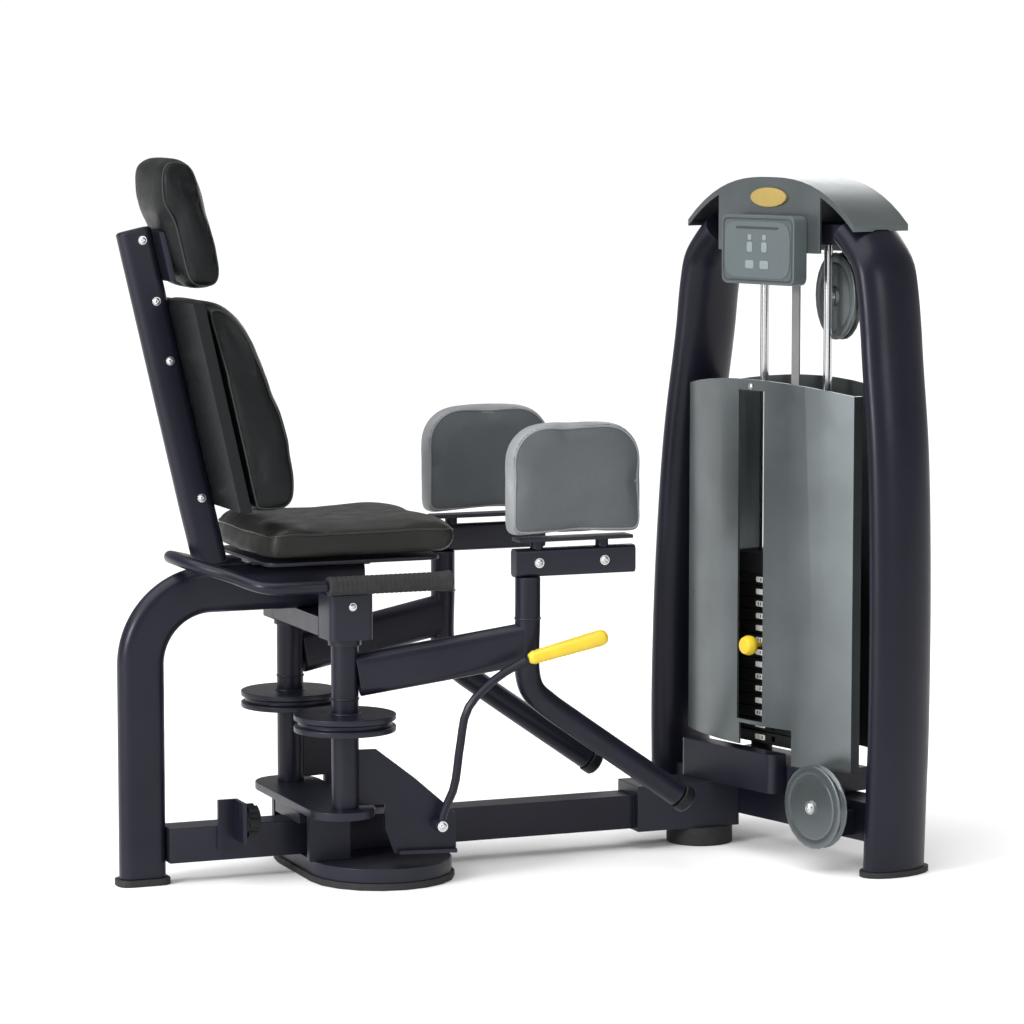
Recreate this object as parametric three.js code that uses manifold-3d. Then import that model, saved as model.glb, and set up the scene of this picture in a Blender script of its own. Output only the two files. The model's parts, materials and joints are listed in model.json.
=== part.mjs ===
// Hip abductor machine: a seat unit with two swinging thigh levers, and a weight-stack tower.
// Millimetres, +Z up. +X runs from the seat to the tower, the user's right hand is at -Y.
// The origin is on the floor, under the rear leg, on the middle plane of the seat.
import * as THREE from 'three';
import { mergeVertices } from 'three/addons/utils/BufferGeometryUtils.js';
import Module from 'manifold-3d';

const wasm = await Module();
wasm.setup();

// ---- Driving dimensions -------------------------------------------------------------------
const GAP = 0.3;                  // clearance between pieces that touch

const BEAM_WIDTH = 70;
const BEAM_BOTTOM = 45;
const BEAM_TOP = 120;
const LEG_X = 5;                  // rear leg centre
const LEG_DEPTH = 100;            // leg section along X
const LEG_WIDTH = 52;             // leg section along Y
const LEG_BEND = 155;             // bend radius of the leg's centre line
const SEAT_TUBE_Z = 622;          // centre of the tube that carries the seat
const SEAT_TUBE_END = 500;
const SEAT_TUBE_TOP = SEAT_TUBE_Z + LEG_DEPTH / 2 + 1.6;

const POST_LEAN = 0.228;          // backrest post: X lost per mm of height
const POST_FOOT_X = 160;          // centre of the post where it leaves the seat tube
const POST_FOOT_Z = SEAT_TUBE_TOP;
const POST_TOP_Z = 1381;
const POST_DEPTH = 76;
const POST_WIDTH = 46;

const SEAT_BACK_X = 212;
const SEAT_FRONT_X = 668;
const SEAT_HALF_WIDTH = 214;
const SEAT_BOTTOM_Z = 684;
const SEAT_TOP_Z = 776;
const PAN_THICKNESS = 8;
const BACK_HALF_WIDTH = 200;
const HEAD_HALF_WIDTH = 113;

const HANDLE_Y = 252;
const HANDLE_Z = 648;
const GRIP_START_X = 335;
const GRIP_END_X = 610;

const PIVOT_X = 397;
const PIVOT_Y = 180;              // each lever turns on its own upright pivot
const SLEEVE_RADIUS = 29;
const SLEEVE_BOTTOM = 168;
const SLEEVE_TOP = 528;
const CAM_RADIUS = 108;
const CAM_Z = 350;
const ARM_REACH_X = 385;          // pivot to the lever's upright post, along X
const ARM_SPREAD_Y = 72;          // and outward, along Y
const LEVER_POST_RADIUS = 27;
const FOOT_TIP_X = 735;           // pivot to the tip of the foot rest
const FOOT_TIP_Z = 158;
const PAD_START_X = 332;          // pivot to the pad's rear edge
const PAD_LENGTH = 312;
const PAD_BOTTOM_Z = 731;
const PAD_TOP_Z = 978;
const PAD_THICKNESS = 66;

const TOWER_X = 1440;
const TOWER_Y = -145;
const TOWER_TURN = THREE.MathUtils.degToRad(15);   // the tower faces a little toward the user's right
const UPRIGHT_DEPTH = 160;
const UPRIGHT_WIDTH = 86;
const UPRIGHT_LEAN = 24;          // the uprights' tops stand this far behind their feet
const CROSS_FRONT = -42;          // front face of the tower's floor cross-member
const TOP_BEAM_HALF = 203;        // the uprights end against this beam, inside the cap
const TOP_BEAM_FRONT = -20;
const TOP_BEAM_BACK = 92;
const CAP_FRONT = -58;
const CAP_BACK = 100;
const CAP_CROWN = 1484;
const CAP_FALL = 150;             // the arch drops this much at ARCH_HALF_WIDTH
const ARCH_HALF_WIDTH = 322;
const CAP_HALF_WIDTH = 274;       // the cap stops short of the uprights' outer shoulders
const CAP_WALL = 5;
const FASCIA_HALF_WIDTH = 168;    // the cap has front and rear walls only between the uprights
const DISPLAY_FRONT = -96;
const SHROUD_HALF_WIDTH = 274;
const SHROUD_TOP = 1046;
const SHROUD_BOTTOM = 240;
const SHROUD_THICKNESS = 5;
const SIDE_PULLEY_X = 54;
const SIDE_PULLEY_Y = -106;
const SIDE_PULLEY_Z = 1226;
const BOTTOM_PULLEY_X = -128;
const BOTTOM_PULLEY_Y = -250;
const BOTTOM_PULLEY_Z = 142;
const ROD_SPACING = 105;          // guide rods, either side of the tower's middle
const ROD_RADIUS = 10;
const STACK_X = 24;               // stack centre, in the tower's own frame
const STACK_BOTTOM = 232;
const PLATE_PITCH = 27;
const LOWER_PLATES = 8;
const UPPER_PLATES = 6;
const STACK_DEPTH = 116;
const STACK_HALF_WIDTH = 150;

// ---- Materials ----------------------------------------------------------------------------
const look = (color, roughness, metalness) =>
  new THREE.MeshStandardMaterial({ color, roughness, metalness });
const framePaint = look(0x2c2d3a, 0.42, 0.35);
const greyPaint = look(0x56605f, 0.4, 0.5);
const blackPlastic = look(0x151617, 0.5, 0);
const rubber = look(0x0e0e0f, 0.85, 0);
const blackLeather = look(0x141516, 0.4, 0);
const seatLeather = look(0x26241f, 0.45, 0);
const padVinyl = look(0x6c7275, 0.5, 0);
const chrome = look(0xd8dadc, 0.12, 1);
const castIron = look(0x1b1c1e, 0.55, 0.6);
const yellowPlastic = look(0xf2d40a, 0.4, 0);
const goldBadge = look(0xd2a530, 0.4, 0.3);
const displayPlastic = look(0x4a5352, 0.45, 0.1);
const beltWebbing = look(0x2a2b2d, 0.8, 0);

// ---- Solids -------------------------------------------------------------------------------
// A closed geometry, reduced to shared vertices, as a solid that can be joined and cut.
function solid(geometry) {
  const bare = geometry.index ? geometry.toNonIndexed() : geometry.clone();
  bare.deleteAttribute('normal');
  bare.deleteAttribute('uv');
  const merged = mergeVertices(bare, 1e-3);
  const corners = Array.from(merged.index.array);
  const faces = [];
  for (let i = 0; i < corners.length; i += 3) {
    const [a, b, c] = corners.slice(i, i + 3);
    if (a !== b && b !== c && a !== c) {
      faces.push(a, b, c);
    }
  }
  const mesh = new wasm.Mesh({
    numProp: 3,
    vertProperties: new Float32Array(merged.attributes.position.array),
    triVerts: new Uint32Array(faces),
  });
  return new wasm.Manifold(mesh);
}

function geometryOf(shape) {
  const mesh = shape.getMesh();
  const geometry = new THREE.BufferGeometry();
  geometry.setAttribute('position', new THREE.BufferAttribute(new Float32Array(mesh.vertProperties), 3));
  geometry.setIndex(new THREE.BufferAttribute(new Uint32Array(mesh.triVerts), 1));
  geometry.computeVertexNormals();
  return geometry;
}

const join = (...geometries) => geometryOf(geometries.map(solid).reduce((sum, next) => sum.add(next)));
function cut(body, ...tools) {
  const rest = tools.map(solid).reduce((sum, next) => sum.subtract(next), solid(body));
  return geometryOf(rest);
}
const common = (body, tool) => geometryOf(solid(body).intersect(solid(tool)));

function box(x0, x1, y0, y1, z0, z1) {
  const geometry = new THREE.BoxGeometry(x1 - x0, y1 - y0, z1 - z0);
  return geometry.translate((x0 + x1) / 2, (y0 + y1) / 2, (z0 + z1) / 2);
}

// A round bar along one axis, from one end to the other, centred on the two other coordinates.
function bar(axis, from, to, u, v, radius, sides = 20) {
  const geometry = new THREE.CylinderGeometry(radius, radius, to - from, sides);
  const middle = (from + to) / 2;
  if (axis === 'x') {
    return geometry.rotateZ(Math.PI / 2).translate(middle, u, v);
  }
  if (axis === 'y') {
    return geometry.translate(u, middle, v);
  }
  return geometry.rotateX(Math.PI / 2).translate(u, v, middle);
}

// An oval section; half sizes across and along the section's own y.
function oval(halfX, halfY, sides = 16) {
  const points = [];
  for (let i = 0; i < sides; i += 1) {
    const angle = (2 * Math.PI * (i + 0.5)) / sides;
    points.push(new THREE.Vector2(halfX * Math.cos(angle), halfY * Math.sin(angle)));
  }
  return new THREE.Shape(points);
}

// A tube along a smooth curve through points.
function tube(points, section, steps) {
  const vectors = points.map(([x, y, z]) => new THREE.Vector3(x, y, z));
  const path = vectors.length === 2
    ? new THREE.LineCurve3(...vectors)
    : new THREE.CatmullRomCurve3(vectors, false, 'centripetal');
  return new THREE.ExtrudeGeometry(section, { steps, extrudePath: path, bevelEnabled: false });
}

// A flat outline of [across, up] pairs in the XZ plane, given a width along Y about a centre.
function sideProfile(outline, centreY, width) {
  const shape = new THREE.Shape(outline.map(([x, z]) => new THREE.Vector2(x, z)));
  const geometry = new THREE.ExtrudeGeometry(shape, { depth: width, bevelEnabled: false });
  return geometry.rotateX(Math.PI / 2).translate(0, centreY + width / 2, 0);
}

// A flat outline of [x, y] pairs standing up from z0 to z1.
function planProfile(outline, z0, z1) {
  const shape = new THREE.Shape(outline.map(([x, y]) => new THREE.Vector2(x, y)));
  return new THREE.ExtrudeGeometry(shape, { depth: z1 - z0, bevelEnabled: false }).translate(0, 0, z0);
}

// A rectangle with rounded corners, as [a, b] pairs; radii are listed from the lower left, anticlockwise.
function roundedOutline(a0, a1, b0, b1, radii, perCorner = 5) {
  const corners = [
    [a0, b0, 1, 1, Math.PI],
    [a1, b0, -1, 1, 1.5 * Math.PI],
    [a1, b1, -1, -1, 0],
    [a0, b1, 1, -1, 0.5 * Math.PI],
  ];
  const outline = [];
  corners.forEach(([a, b, da, db, start], index) => {
    const radius = radii[index];
    for (let i = 0; i <= perCorner; i += 1) {
      const angle = start + (Math.PI / 2) * (i / perCorner);
      outline.push([a + da * radius + radius * Math.cos(angle), b + db * radius + radius * Math.sin(angle)]);
    }
  });
  return outline;
}

function capsulePlan(x, halfLength, radius, z0, z1, sides = 12) {
  const outline = [];
  for (let i = 0; i <= sides; i += 1) {
    const angle = (Math.PI * i) / sides;
    outline.push([x + radius * Math.cos(angle), halfLength + radius * Math.sin(angle)]);
  }
  for (let i = 0; i <= sides; i += 1) {
    const angle = Math.PI + (Math.PI * i) / sides;
    outline.push([x + radius * Math.cos(angle), -halfLength + radius * Math.sin(angle)]);
  }
  return planProfile(outline, z0, z1);
}

const machine = new THREE.Group();
const seatUnit = new THREE.Group();
const tower = new THREE.Group();
tower.position.set(TOWER_X, TOWER_Y, 0);
tower.rotation.z = TOWER_TURN;
machine.add(seatUnit, tower);

function add(group, name, geometry, material) {
  const mesh = new THREE.Mesh(geometry, material);
  mesh.name = name;
  group.add(mesh);
  return mesh;
}

// ---- Seat unit: floor frame ---------------------------------------------------------------
const postCentre = (z) => POST_FOOT_X - POST_LEAN * (z - POST_FOOT_Z);
const postFront = (z) => postCentre(z) + POST_DEPTH / 2 + 1.2;

function rearLeg() {
  const arc = [];
  for (let i = 0; i <= 6; i += 1) {
    const angle = (Math.PI / 2) * (i / 6);
    arc.push([
      LEG_X + LEG_BEND - LEG_BEND * Math.cos(angle),
      0,
      SEAT_TUBE_Z - LEG_BEND + LEG_BEND * Math.sin(angle),
    ]);
  }
  const path = [
    [LEG_X, 0, 14], [LEG_X, 0, 230], ...arc,
    [330, 0, SEAT_TUBE_Z], [SEAT_TUBE_END, 0, SEAT_TUBE_Z],
  ];
  const section = new THREE.Shape(
    roundedOutline(-LEG_WIDTH / 2, LEG_WIDTH / 2, -LEG_DEPTH / 2, LEG_DEPTH / 2, [20, 20, 20, 20], 2)
      .map(([x, y]) => new THREE.Vector2(x, y)),
  );
  return tube(path, section, 24);
}

function baseBeam() {
  const start = LEG_X + LEG_DEPTH / 2 + GAP;
  const main = box(start, 1290, -BEAM_WIDTH / 2, BEAM_WIDTH / 2, BEAM_BOTTOM, BEAM_TOP);
  const wide = box(1125, 1460, -56, 56, 40, 142);
  const towerFoot = box(CROSS_FRONT - 0.4, 300, -600, 600, 0, 200);
  towerFoot.rotateZ(TOWER_TURN).translate(TOWER_X, TOWER_Y, 0);
  return cut(join(main, wide), towerFoot);
}

function floorFrame() {
  add(seatUnit, 'rear_leg', rearLeg(), framePaint);
  const rearFootOutline = roundedOutline(LEG_X - 58, LEG_X + 58, -34, 34, [24, 24, 24, 24], 3);
  add(seatUnit, 'rear_foot', planProfile(rearFootOutline, 0, 14 - GAP), rubber);
  add(seatUnit, 'base_beam', baseBeam(), framePaint);
  add(seatUnit, 'beam_foot', bar('z', 0, 40 - GAP, 1300, 0, 74, 24), rubber);
  add(seatUnit, 'cross_foot_rubber', capsulePlan(500, 112, 158, 0, 14, 10), rubber);
  add(seatUnit, 'cross_foot_plate', capsulePlan(500, 112, 152, 14 + GAP, BEAM_BOTTOM - GAP, 10), framePaint);
  add(seatUnit, 'bearing_plate', bearingPlate(), framePaint);
  add(seatUnit, 'cross_member', crossMember(), framePaint);
}

// The lower bearing plate lies over the beam, with a stubby web down to the foot plate each side.
function bearingPlate() {
  const plate = capsulePlan(PIVOT_X - 8, PIVOT_Y - 4, 72, 150, SLEEVE_BOTTOM - GAP, 10);
  const web = box(PIVOT_X - 70, PIVOT_X + 44, -80, 80, BEAM_TOP + GAP, 151);
  const pieces = [plate, web];
  for (const side of [-1, 1]) {
    const y = side * 118;
    pieces.push(box(PIVOT_X - 62, PIVOT_X + 30, y - 8, y + 8, BEAM_BOTTOM, 151));
  }
  return join(...pieces);
}

// The upper bearing housings of both pivots are one cross-member below the seat tube.
function crossMember() {
  const top = SEAT_TUBE_Z - LEG_DEPTH / 2 - GAP;
  const bridge = box(PIVOT_X - 48, PIVOT_X + 48, -150, 150, top - 40, top);
  const pieces = [bridge];
  for (const side of [-1, 1]) {
    const y = side * 186;
    const outline = roundedOutline(PIVOT_X - 48, PIVOT_X + 48, y - 46, y + 46, [14, 14, 14, 14], 3);
    pieces.push(planProfile(outline, SLEEVE_TOP + GAP, 624));
  }
  return join(...pieces);
}

// ---- Seat unit: backrest, seat and handles --------------------------------------------------
function backrestPost() {
  const path = [[postCentre(640), 0, 640], [postCentre(POST_TOP_Z), 0, POST_TOP_Z]];
  const post = tube(path, oval(POST_WIDTH / 2, POST_DEPTH / 2, 14), 1);
  return cut(post, box(-50, 400, -60, 60, 560, POST_FOOT_Z));
}

// Thickness grows from the top edge to the lumbar; the rear face runs parallel to the post.
function backCushion() {
  const rear = (z) => postFront(z) + 27;
  const outline = [
    [rear(786) + 6, 786], [278, 786], [291, 806], [291, 868], [283, 930], [266, 1004],
    [245, 1060], [224, 1108], [200, 1160], [174, 1207], [146, 1240], [124, 1249], [rear(1240), 1240],
    [rear(1010), 1010], [rear(800), 800],
  ];
  const slab = sideProfile(outline, 0, 2 * BACK_HALF_WIDTH);
  const mask = new THREE.ExtrudeGeometry(
    new THREE.Shape(roundedOutline(-BACK_HALF_WIDTH, BACK_HALF_WIDTH, 784, 1252, [46, 46, 74, 74], 4)
      .map(([y, z]) => new THREE.Vector2(y, z))),
    { depth: 400, bevelEnabled: false },
  ).rotateX(Math.PI / 2).rotateZ(Math.PI / 2);
  return common(slab, mask);
}

function backShell() {
  const rear = (z) => postFront(z);
  const outline = [[rear(800), 800], [rear(800) + 26, 800], [rear(1236) + 26, 1236], [rear(1236), 1236]];
  return sideProfile(outline, 0, 2 * BACK_HALF_WIDTH - 36);
}

function headrest() {
  const outline = [
    [postFront(1268) + 14, 1268], [postFront(1262) + 30, 1256], [150, 1257], [160, 1276],
    [150, 1350], [130, 1430], [108, 1500], [96, 1524], [76, 1535], [42, 1532], [28, 1512], [28, 1440],
    [postFront(1400) + 14, 1400],
  ];
  return sideProfile(outline, 0, 2 * HEAD_HALF_WIDTH);
}

function headrestBracket() {
  const outline = [
    [postFront(1275), 1275], [postFront(1275) + 13.5, 1275],
    [postFront(1378) + 13.5, 1378], [postFront(1378), 1378],
  ];
  return sideProfile(outline, 0, 110);
}

function seatCushion() {
  const outline = [
    [SEAT_BACK_X, SEAT_BOTTOM_Z + 14], [SEAT_BACK_X + 10, SEAT_BOTTOM_Z + GAP + PAN_THICKNESS],
    [SEAT_FRONT_X - 24, SEAT_BOTTOM_Z + GAP + PAN_THICKNESS], [SEAT_FRONT_X - 6, 708], [SEAT_FRONT_X, 730],
    [SEAT_FRONT_X - 8, 752], [SEAT_FRONT_X - 34, 770], [SEAT_FRONT_X - 90, SEAT_TOP_Z],
    [420, 770], [SEAT_BACK_X + 26, 772], [SEAT_BACK_X, 752],
  ];
  const slab = sideProfile(outline, 0, 2 * SEAT_HALF_WIDTH);
  const plan = roundedOutline(
    SEAT_BACK_X, SEAT_FRONT_X, -SEAT_HALF_WIDTH, SEAT_HALF_WIDTH, [50, 70, 70, 50], 4,
  );
  return common(slab, planProfile(plan, 600, 900));
}

function seatPan() {
  const plan = roundedOutline(SEAT_BACK_X + 16, SEAT_FRONT_X - 46, -180, 180, [30, 40, 40, 30], 3);
  const plate = planProfile(plan, SEAT_BOTTOM_Z, SEAT_BOTTOM_Z + PAN_THICKNESS);
  const rail = box(SEAT_BACK_X + 30, SEAT_TUBE_END - 12, -40, 40, SEAT_TUBE_TOP, SEAT_BOTTOM_Z + 1);
  return join(plate, rail);
}

// One tube runs from hand to hand and passes behind the backrest post.
function handleLoop() {
  const right = [
    [GRIP_START_X - GAP, -HANDLE_Y, HANDLE_Z], [265, -HANDLE_Y, HANDLE_Z],
    [205, -HANDLE_Y + 14, HANDLE_Z + 2],
    [150, -150, HANDLE_Z + 20], [98, -80, HANDLE_Z + 36],
  ];
  const left = right.map(([x, y, z]) => [x, -y, z]).reverse();
  const loop = tube([...right, [82, 0, HANDLE_Z + 42], ...left], oval(15, 15, 8), 28);
  const saddle = box(66, 98, -20, 20, 640, HANDLE_Z + 30);
  return cut(join(loop, saddle), rearLegClearance());
}

// The leg's outline, a hair larger, so that the handle's saddle stands on the bend without cutting into it.
function rearLegClearance() {
  const outline = [];
  const outer = LEG_BEND + LEG_DEPTH / 2 + GAP;
  for (let i = 0; i <= 12; i += 1) {
    const angle = (Math.PI / 2) * (i / 12);
    outline.push([
      LEG_X + LEG_BEND - outer * Math.cos(angle) - 0.4,
      SEAT_TUBE_Z - LEG_BEND + outer * Math.sin(angle) + 0.8,
    ]);
  }
  outline.push([LEG_X + LEG_BEND, 400], [-60, 400]);
  return sideProfile(outline.reverse(), 0, 120);
}

function grip(side) {
  const profile = [[0, 0], [20, 0], [21, 3], [20, 12], [20, 255], [22, 262], [22, 272], [18, 275], [0, 275]];
  const geometry = new THREE.LatheGeometry(profile.map(([r, h]) => new THREE.Vector2(r, h)), 16);
  return geometry.rotateZ(-Math.PI / 2).translate(GRIP_START_X, side * HANDLE_Y, HANDLE_Z);
}

function seating() {
  add(seatUnit, 'backrest_post', backrestPost(), framePaint);
  add(seatUnit, 'back_shell', backShell(), blackPlastic);
  add(seatUnit, 'back_cushion', backCushion(), blackLeather);
  add(seatUnit, 'headrest_bracket', headrestBracket(), framePaint);
  add(seatUnit, 'headrest_cushion', headrest(), blackLeather);
  add(seatUnit, 'seat_pan', seatPan(), framePaint);
  add(seatUnit, 'seat_cushion', seatCushion(), seatLeather);
  add(seatUnit, 'handle_loop', handleLoop(), framePaint);
  add(seatUnit, 'right_grip', grip(-1), rubber);
  add(seatUnit, 'left_grip', grip(1), rubber);
}

// ---- Seat unit: adjusting knob ------------------------------------------------------------
function knobBracket() {
  const side = -BEAM_WIDTH / 2 - GAP;
  const plate = box(160, 204, side - 8, side, 70, 176);
  const ear = box(196, 204, -104, side - 7, 90, 176);
  return join(plate, ear);
}

function adjustKnob() {
  const lobes = [bar('x', 205, 236, -74, 134, 30, 20)];
  for (let i = 0; i < 6; i += 1) {
    const angle = (Math.PI * 2 * i) / 6;
    lobes.push(bar('x', 210, 232, -74 + 28 * Math.cos(angle), 134 + 28 * Math.sin(angle), 10, 10));
  }
  return join(...lobes);
}

function knob() {
  add(seatUnit, 'knob_bracket', knobBracket(), framePaint);
  add(seatUnit, 'adjust_knob', adjustKnob(), blackPlastic);
}

// ---- Levers -------------------------------------------------------------------------------
// side is -1 for the user's right and +1 for the left; every lever piece is placed about its pivot.
function leverSleeve(side) {
  const sleeve = bar('z', SLEEVE_BOTTOM, SLEEVE_TOP, 0, 0, SLEEVE_RADIUS, 20);
  const collar = bar('z', SLEEVE_TOP - 14, SLEEVE_TOP, 0, 0, 35, 20);
  const outline = [
    [20, 172], [84, 172], [84, 120], [104, 66], [236, 66],
    [236, 148], [148, 226], [66, 290], [20, 290],
  ];
  const web = sideProfile(outline, 0, 10);
  const foot = box(112, 236, -20, 20, 66, 74);
  const pieces = [web, foot];
  if (side < 0) {
    pieces.push(bar('y', -26, 0, 196, 128, 12, 12));     // the release lever's lug
  }
  const gusset = join(...pieces);
  gusset.rotateZ(side * Math.atan2(ARM_SPREAD_Y, ARM_REACH_X));
  return join(sleeve, collar, gusset);
}

function leverCam() {
  const disc = bar('z', CAM_Z - 18, CAM_Z + 18, 0, 0, CAM_RADIUS, 32);
  const hole = bar('z', CAM_Z - 30, CAM_Z + 30, 0, 0, SLEEVE_RADIUS + GAP, 20);
  const mouth = CAM_RADIUS + 4;
  const root = CAM_RADIUS - 9;
  const groove = [[mouth, -8], [mouth, 8], [root, 4], [root, -4], [mouth, -8]];
  const rim = new THREE.LatheGeometry(groove.map(([r, h]) => new THREE.Vector2(r, h)), 32)
    .rotateX(Math.PI / 2).translate(0, 0, CAM_Z);
  return cut(disc, hole, rim);
}

function leverArm(side) {
  const y = side * ARM_SPREAD_Y;
  const arm = tube([[16, side * 3, 446], [ARM_REACH_X - 6, y, 505]], oval(46, 24, 14), 1);
  const post = tube(
    [
      [ARM_REACH_X, y, 648], [ARM_REACH_X, y, 560], [ARM_REACH_X, y, 440], [ARM_REACH_X + 12, y, 404],
      [ARM_REACH_X + 44, y, 374], [ARM_REACH_X + 96, y, 336], [FOOT_TIP_X, y, FOOT_TIP_Z],
    ],
    oval(LEVER_POST_RADIUS, LEVER_POST_RADIUS, 14),
    16,
  );
  const sleeveHole = bar('z', 300, 620, 0, 0, SLEEVE_RADIUS + GAP, 20);
  return cut(join(arm, post), sleeveHole);
}

function footCap(side) {
  const y = side * ARM_SPREAD_Y;
  const slope = new THREE.Vector3(FOOT_TIP_X - ARM_REACH_X - 96, 0, FOOT_TIP_Z - 336).normalize();
  const profile = [[0, 0], [29, 0], [30, 3], [30, 20], [26, 26], [0, 26]];
  const geometry = new THREE.LatheGeometry(profile.map(([r, h]) => new THREE.Vector2(r, h)), 14);
  const turn = new THREE.Quaternion().setFromUnitVectors(new THREE.Vector3(0, 1, 0), slope);
  geometry.applyQuaternion(turn);
  const start = new THREE.Vector3(FOOT_TIP_X, y, FOOT_TIP_Z).addScaledVector(slope, 3);
  return geometry.translate(start.x, start.y, start.z);
}

function padBar(side) {
  const y = side * ARM_SPREAD_Y;
  const outline = roundedOutline(y - 17, y + 17, 648 + GAP, 708, [10, 10, 10, 10], 3);
  const shape = new THREE.Shape(outline.map(([a, b]) => new THREE.Vector2(a, b)));
  const rail = new THREE.ExtrudeGeometry(shape, { depth: 274, bevelEnabled: false })
    .rotateX(Math.PI / 2).rotateZ(Math.PI / 2).translate(ARM_REACH_X - 32, 0, 0);
  const shelfStart = PAD_START_X + 26;
  const shelfEnd = PAD_START_X + PAD_LENGTH - 26;
  const shelf = box(shelfStart, shelfEnd, y - 24, y + 24, PAD_BOTTOM_Z - 8, PAD_BOTTOM_Z - GAP);
  const pieces = [rail, shelf];
  for (const x of [ARM_REACH_X + 20, ARM_REACH_X + 170]) {
    pieces.push(bar('z', 700, PAD_BOTTOM_Z - 6, x, y, 14, 12));
  }
  return join(...pieces);
}

function thighPad(side) {
  const end = PAD_START_X + PAD_LENGTH;
  const outline = roundedOutline(PAD_START_X, end, PAD_BOTTOM_Z, PAD_TOP_Z, [14, 14, 78, 78], 5);
  return sideProfile(outline, side * ARM_SPREAD_Y, PAD_THICKNESS);
}

function lever(side) {
  const name = side < 0 ? 'right' : 'left';
  const group = new THREE.Group();
  group.position.set(PIVOT_X, side * PIVOT_Y, 0);
  seatUnit.add(group);
  add(group, `${name}_sleeve`, leverSleeve(side), framePaint);
  add(group, `${name}_cam`, leverCam(), framePaint);
  add(group, `${name}_arm`, leverArm(side), framePaint);
  add(group, `${name}_foot_cap`, footCap(side), blackPlastic);
  add(group, `${name}_pad_bar`, padBar(side), framePaint);
  add(group, `${name}_thigh_pad`, thighPad(side), padVinyl);
  return group;
}

// The release lever hangs on a lug of the right lever and passes outside its arm to the yellow grip.
function releaseLever(group) {
  const rod = tube(
    [
      [188, -74, 128], [194, -76, 160], [212, -86, 210], [222, -96, 300], [236, -106, 380],
      [292, -122, 442], [356, -134, 480],
    ],
    oval(9, 9, 8),
    16,
  );
  const boss = bar('y', -82, -64.4, 188, 128, 15, 12);
  add(group, 'release_rod', join(rod, boss), framePaint);
  const profile = [[0, 0], [9, 0], [13, 4], [15, 30], [17, 120], [18, 160], [14, 172], [0, 175]];
  const geometry = new THREE.LatheGeometry(profile.map(([r, h]) => new THREE.Vector2(r, h)), 14);
  const direction = new THREE.Vector3(64, -12, 17).normalize();
  const turn = new THREE.Quaternion().setFromUnitVectors(new THREE.Vector3(0, 1, 0), direction);
  geometry.applyQuaternion(turn).translate(362, -135.4, 482.5);
  add(group, 'release_grip', geometry, yellowPlastic);
}

// ---- Tower, in its own frame: -X is its front, -Y the user's right ---------------------------
// How far back the uprights stand at a height.
function uprightLean(z) {
  return UPRIGHT_LEAN * Math.min(1, Math.max(0, z / 1150)) ** 1.6;
}

// Each upright bows outward, leans back a little and curls in at the top;
// grow widens the section for clearance cuts.
function uprightTube(side, grow) {
  const path = [
    [356, -20], [358, 12], [362, 150], [366, 300], [361, 600], [342, 900],
    [314, 1100], [294, 1250], [281, 1298], [254, 1332], [226, 1358], [190, 1382],
  ].map(([y, z]) => [0, side * y, z]);
  const geometry = tube(path, oval(UPRIGHT_DEPTH / 2 + grow, UPRIGHT_WIDTH / 2 + grow, 16), 24);
  const corners = geometry.attributes.position;
  for (let i = 0; i < corners.count; i += 1) {
    corners.setX(i, corners.getX(i) + uprightLean(corners.getZ(i)));
  }
  return geometry;
}

function upright(side) {
  const floor = box(-120, 120, -480, 480, -100, 12);
  const middle = box(-120, 120, -TOP_BEAM_HALF, TOP_BEAM_HALF, 1300, 1500);
  return cut(uprightTube(side, 0), floor, middle);
}

function uprightFoot(side) {
  const outline = [];
  for (let i = 0; i < 20; i += 1) {
    const angle = (2 * Math.PI * i) / 20;
    outline.push([2 + 90 * Math.cos(angle), side * 357 + 50 * Math.sin(angle)]);
  }
  return planProfile(outline, 0, 12 - GAP);
}

function baseCrossmember() {
  const beam = box(CROSS_FRONT, 42, -352, 352, 66, 150);
  const deck = box(-66, 78, -190, 190, 149, 200);
  const clearances = [-1, 1].map((side) => uprightTube(side, 0.5));
  return cut(join(beam, deck), ...clearances, rodHoles(180, 260, 0.4));
}

function rodHoles(z0, z1, clearance) {
  return join(
    bar('z', z0, z1, STACK_X, -ROD_SPACING, ROD_RADIUS + clearance, 12),
    bar('z', z0, z1, STACK_X, ROD_SPACING, ROD_RADIUS + clearance, 12),
  );
}

// The front cover follows a shallow bow and turns back at both sides.
function shroudPlan(halfWidth, edge, bow, back, thickness) {
  const outer = [];
  const inner = [];
  const steps = 14;
  for (let i = 0; i <= steps; i += 1) {
    const t = -1 + (2 * i) / steps;
    outer.push([-(edge + bow * (1 - t * t)), halfWidth * t]);
    inner.push([-(edge + bow * (1 - t * t) - thickness), (halfWidth - thickness) * t]);
  }
  return [
    [-back, -halfWidth], ...outer, [-back, halfWidth],
    [-back, halfWidth - thickness], ...inner.reverse(), [-back, -halfWidth + thickness],
  ];
}

function frontShroud() {
  const plan = shroudPlan(SHROUD_HALF_WIDTH, 50, 58, 26, SHROUD_THICKNESS);
  const panel = planProfile(plan, SHROUD_BOTTOM - 30, SHROUD_TOP);
  const slot = box(-200, 0, -46, 38, 296, 1022);
  const farHem = box(-200, 0, 0, 320, SHROUD_BOTTOM - 60, SHROUD_BOTTOM);
  const notch = box(-200, 0, -130, 30, SHROUD_BOTTOM - 60, 288);
  const dome = domeCutter(SHROUD_TOP, 34);
  return cut(panel, slot, farHem, notch, dome);
}

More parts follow.
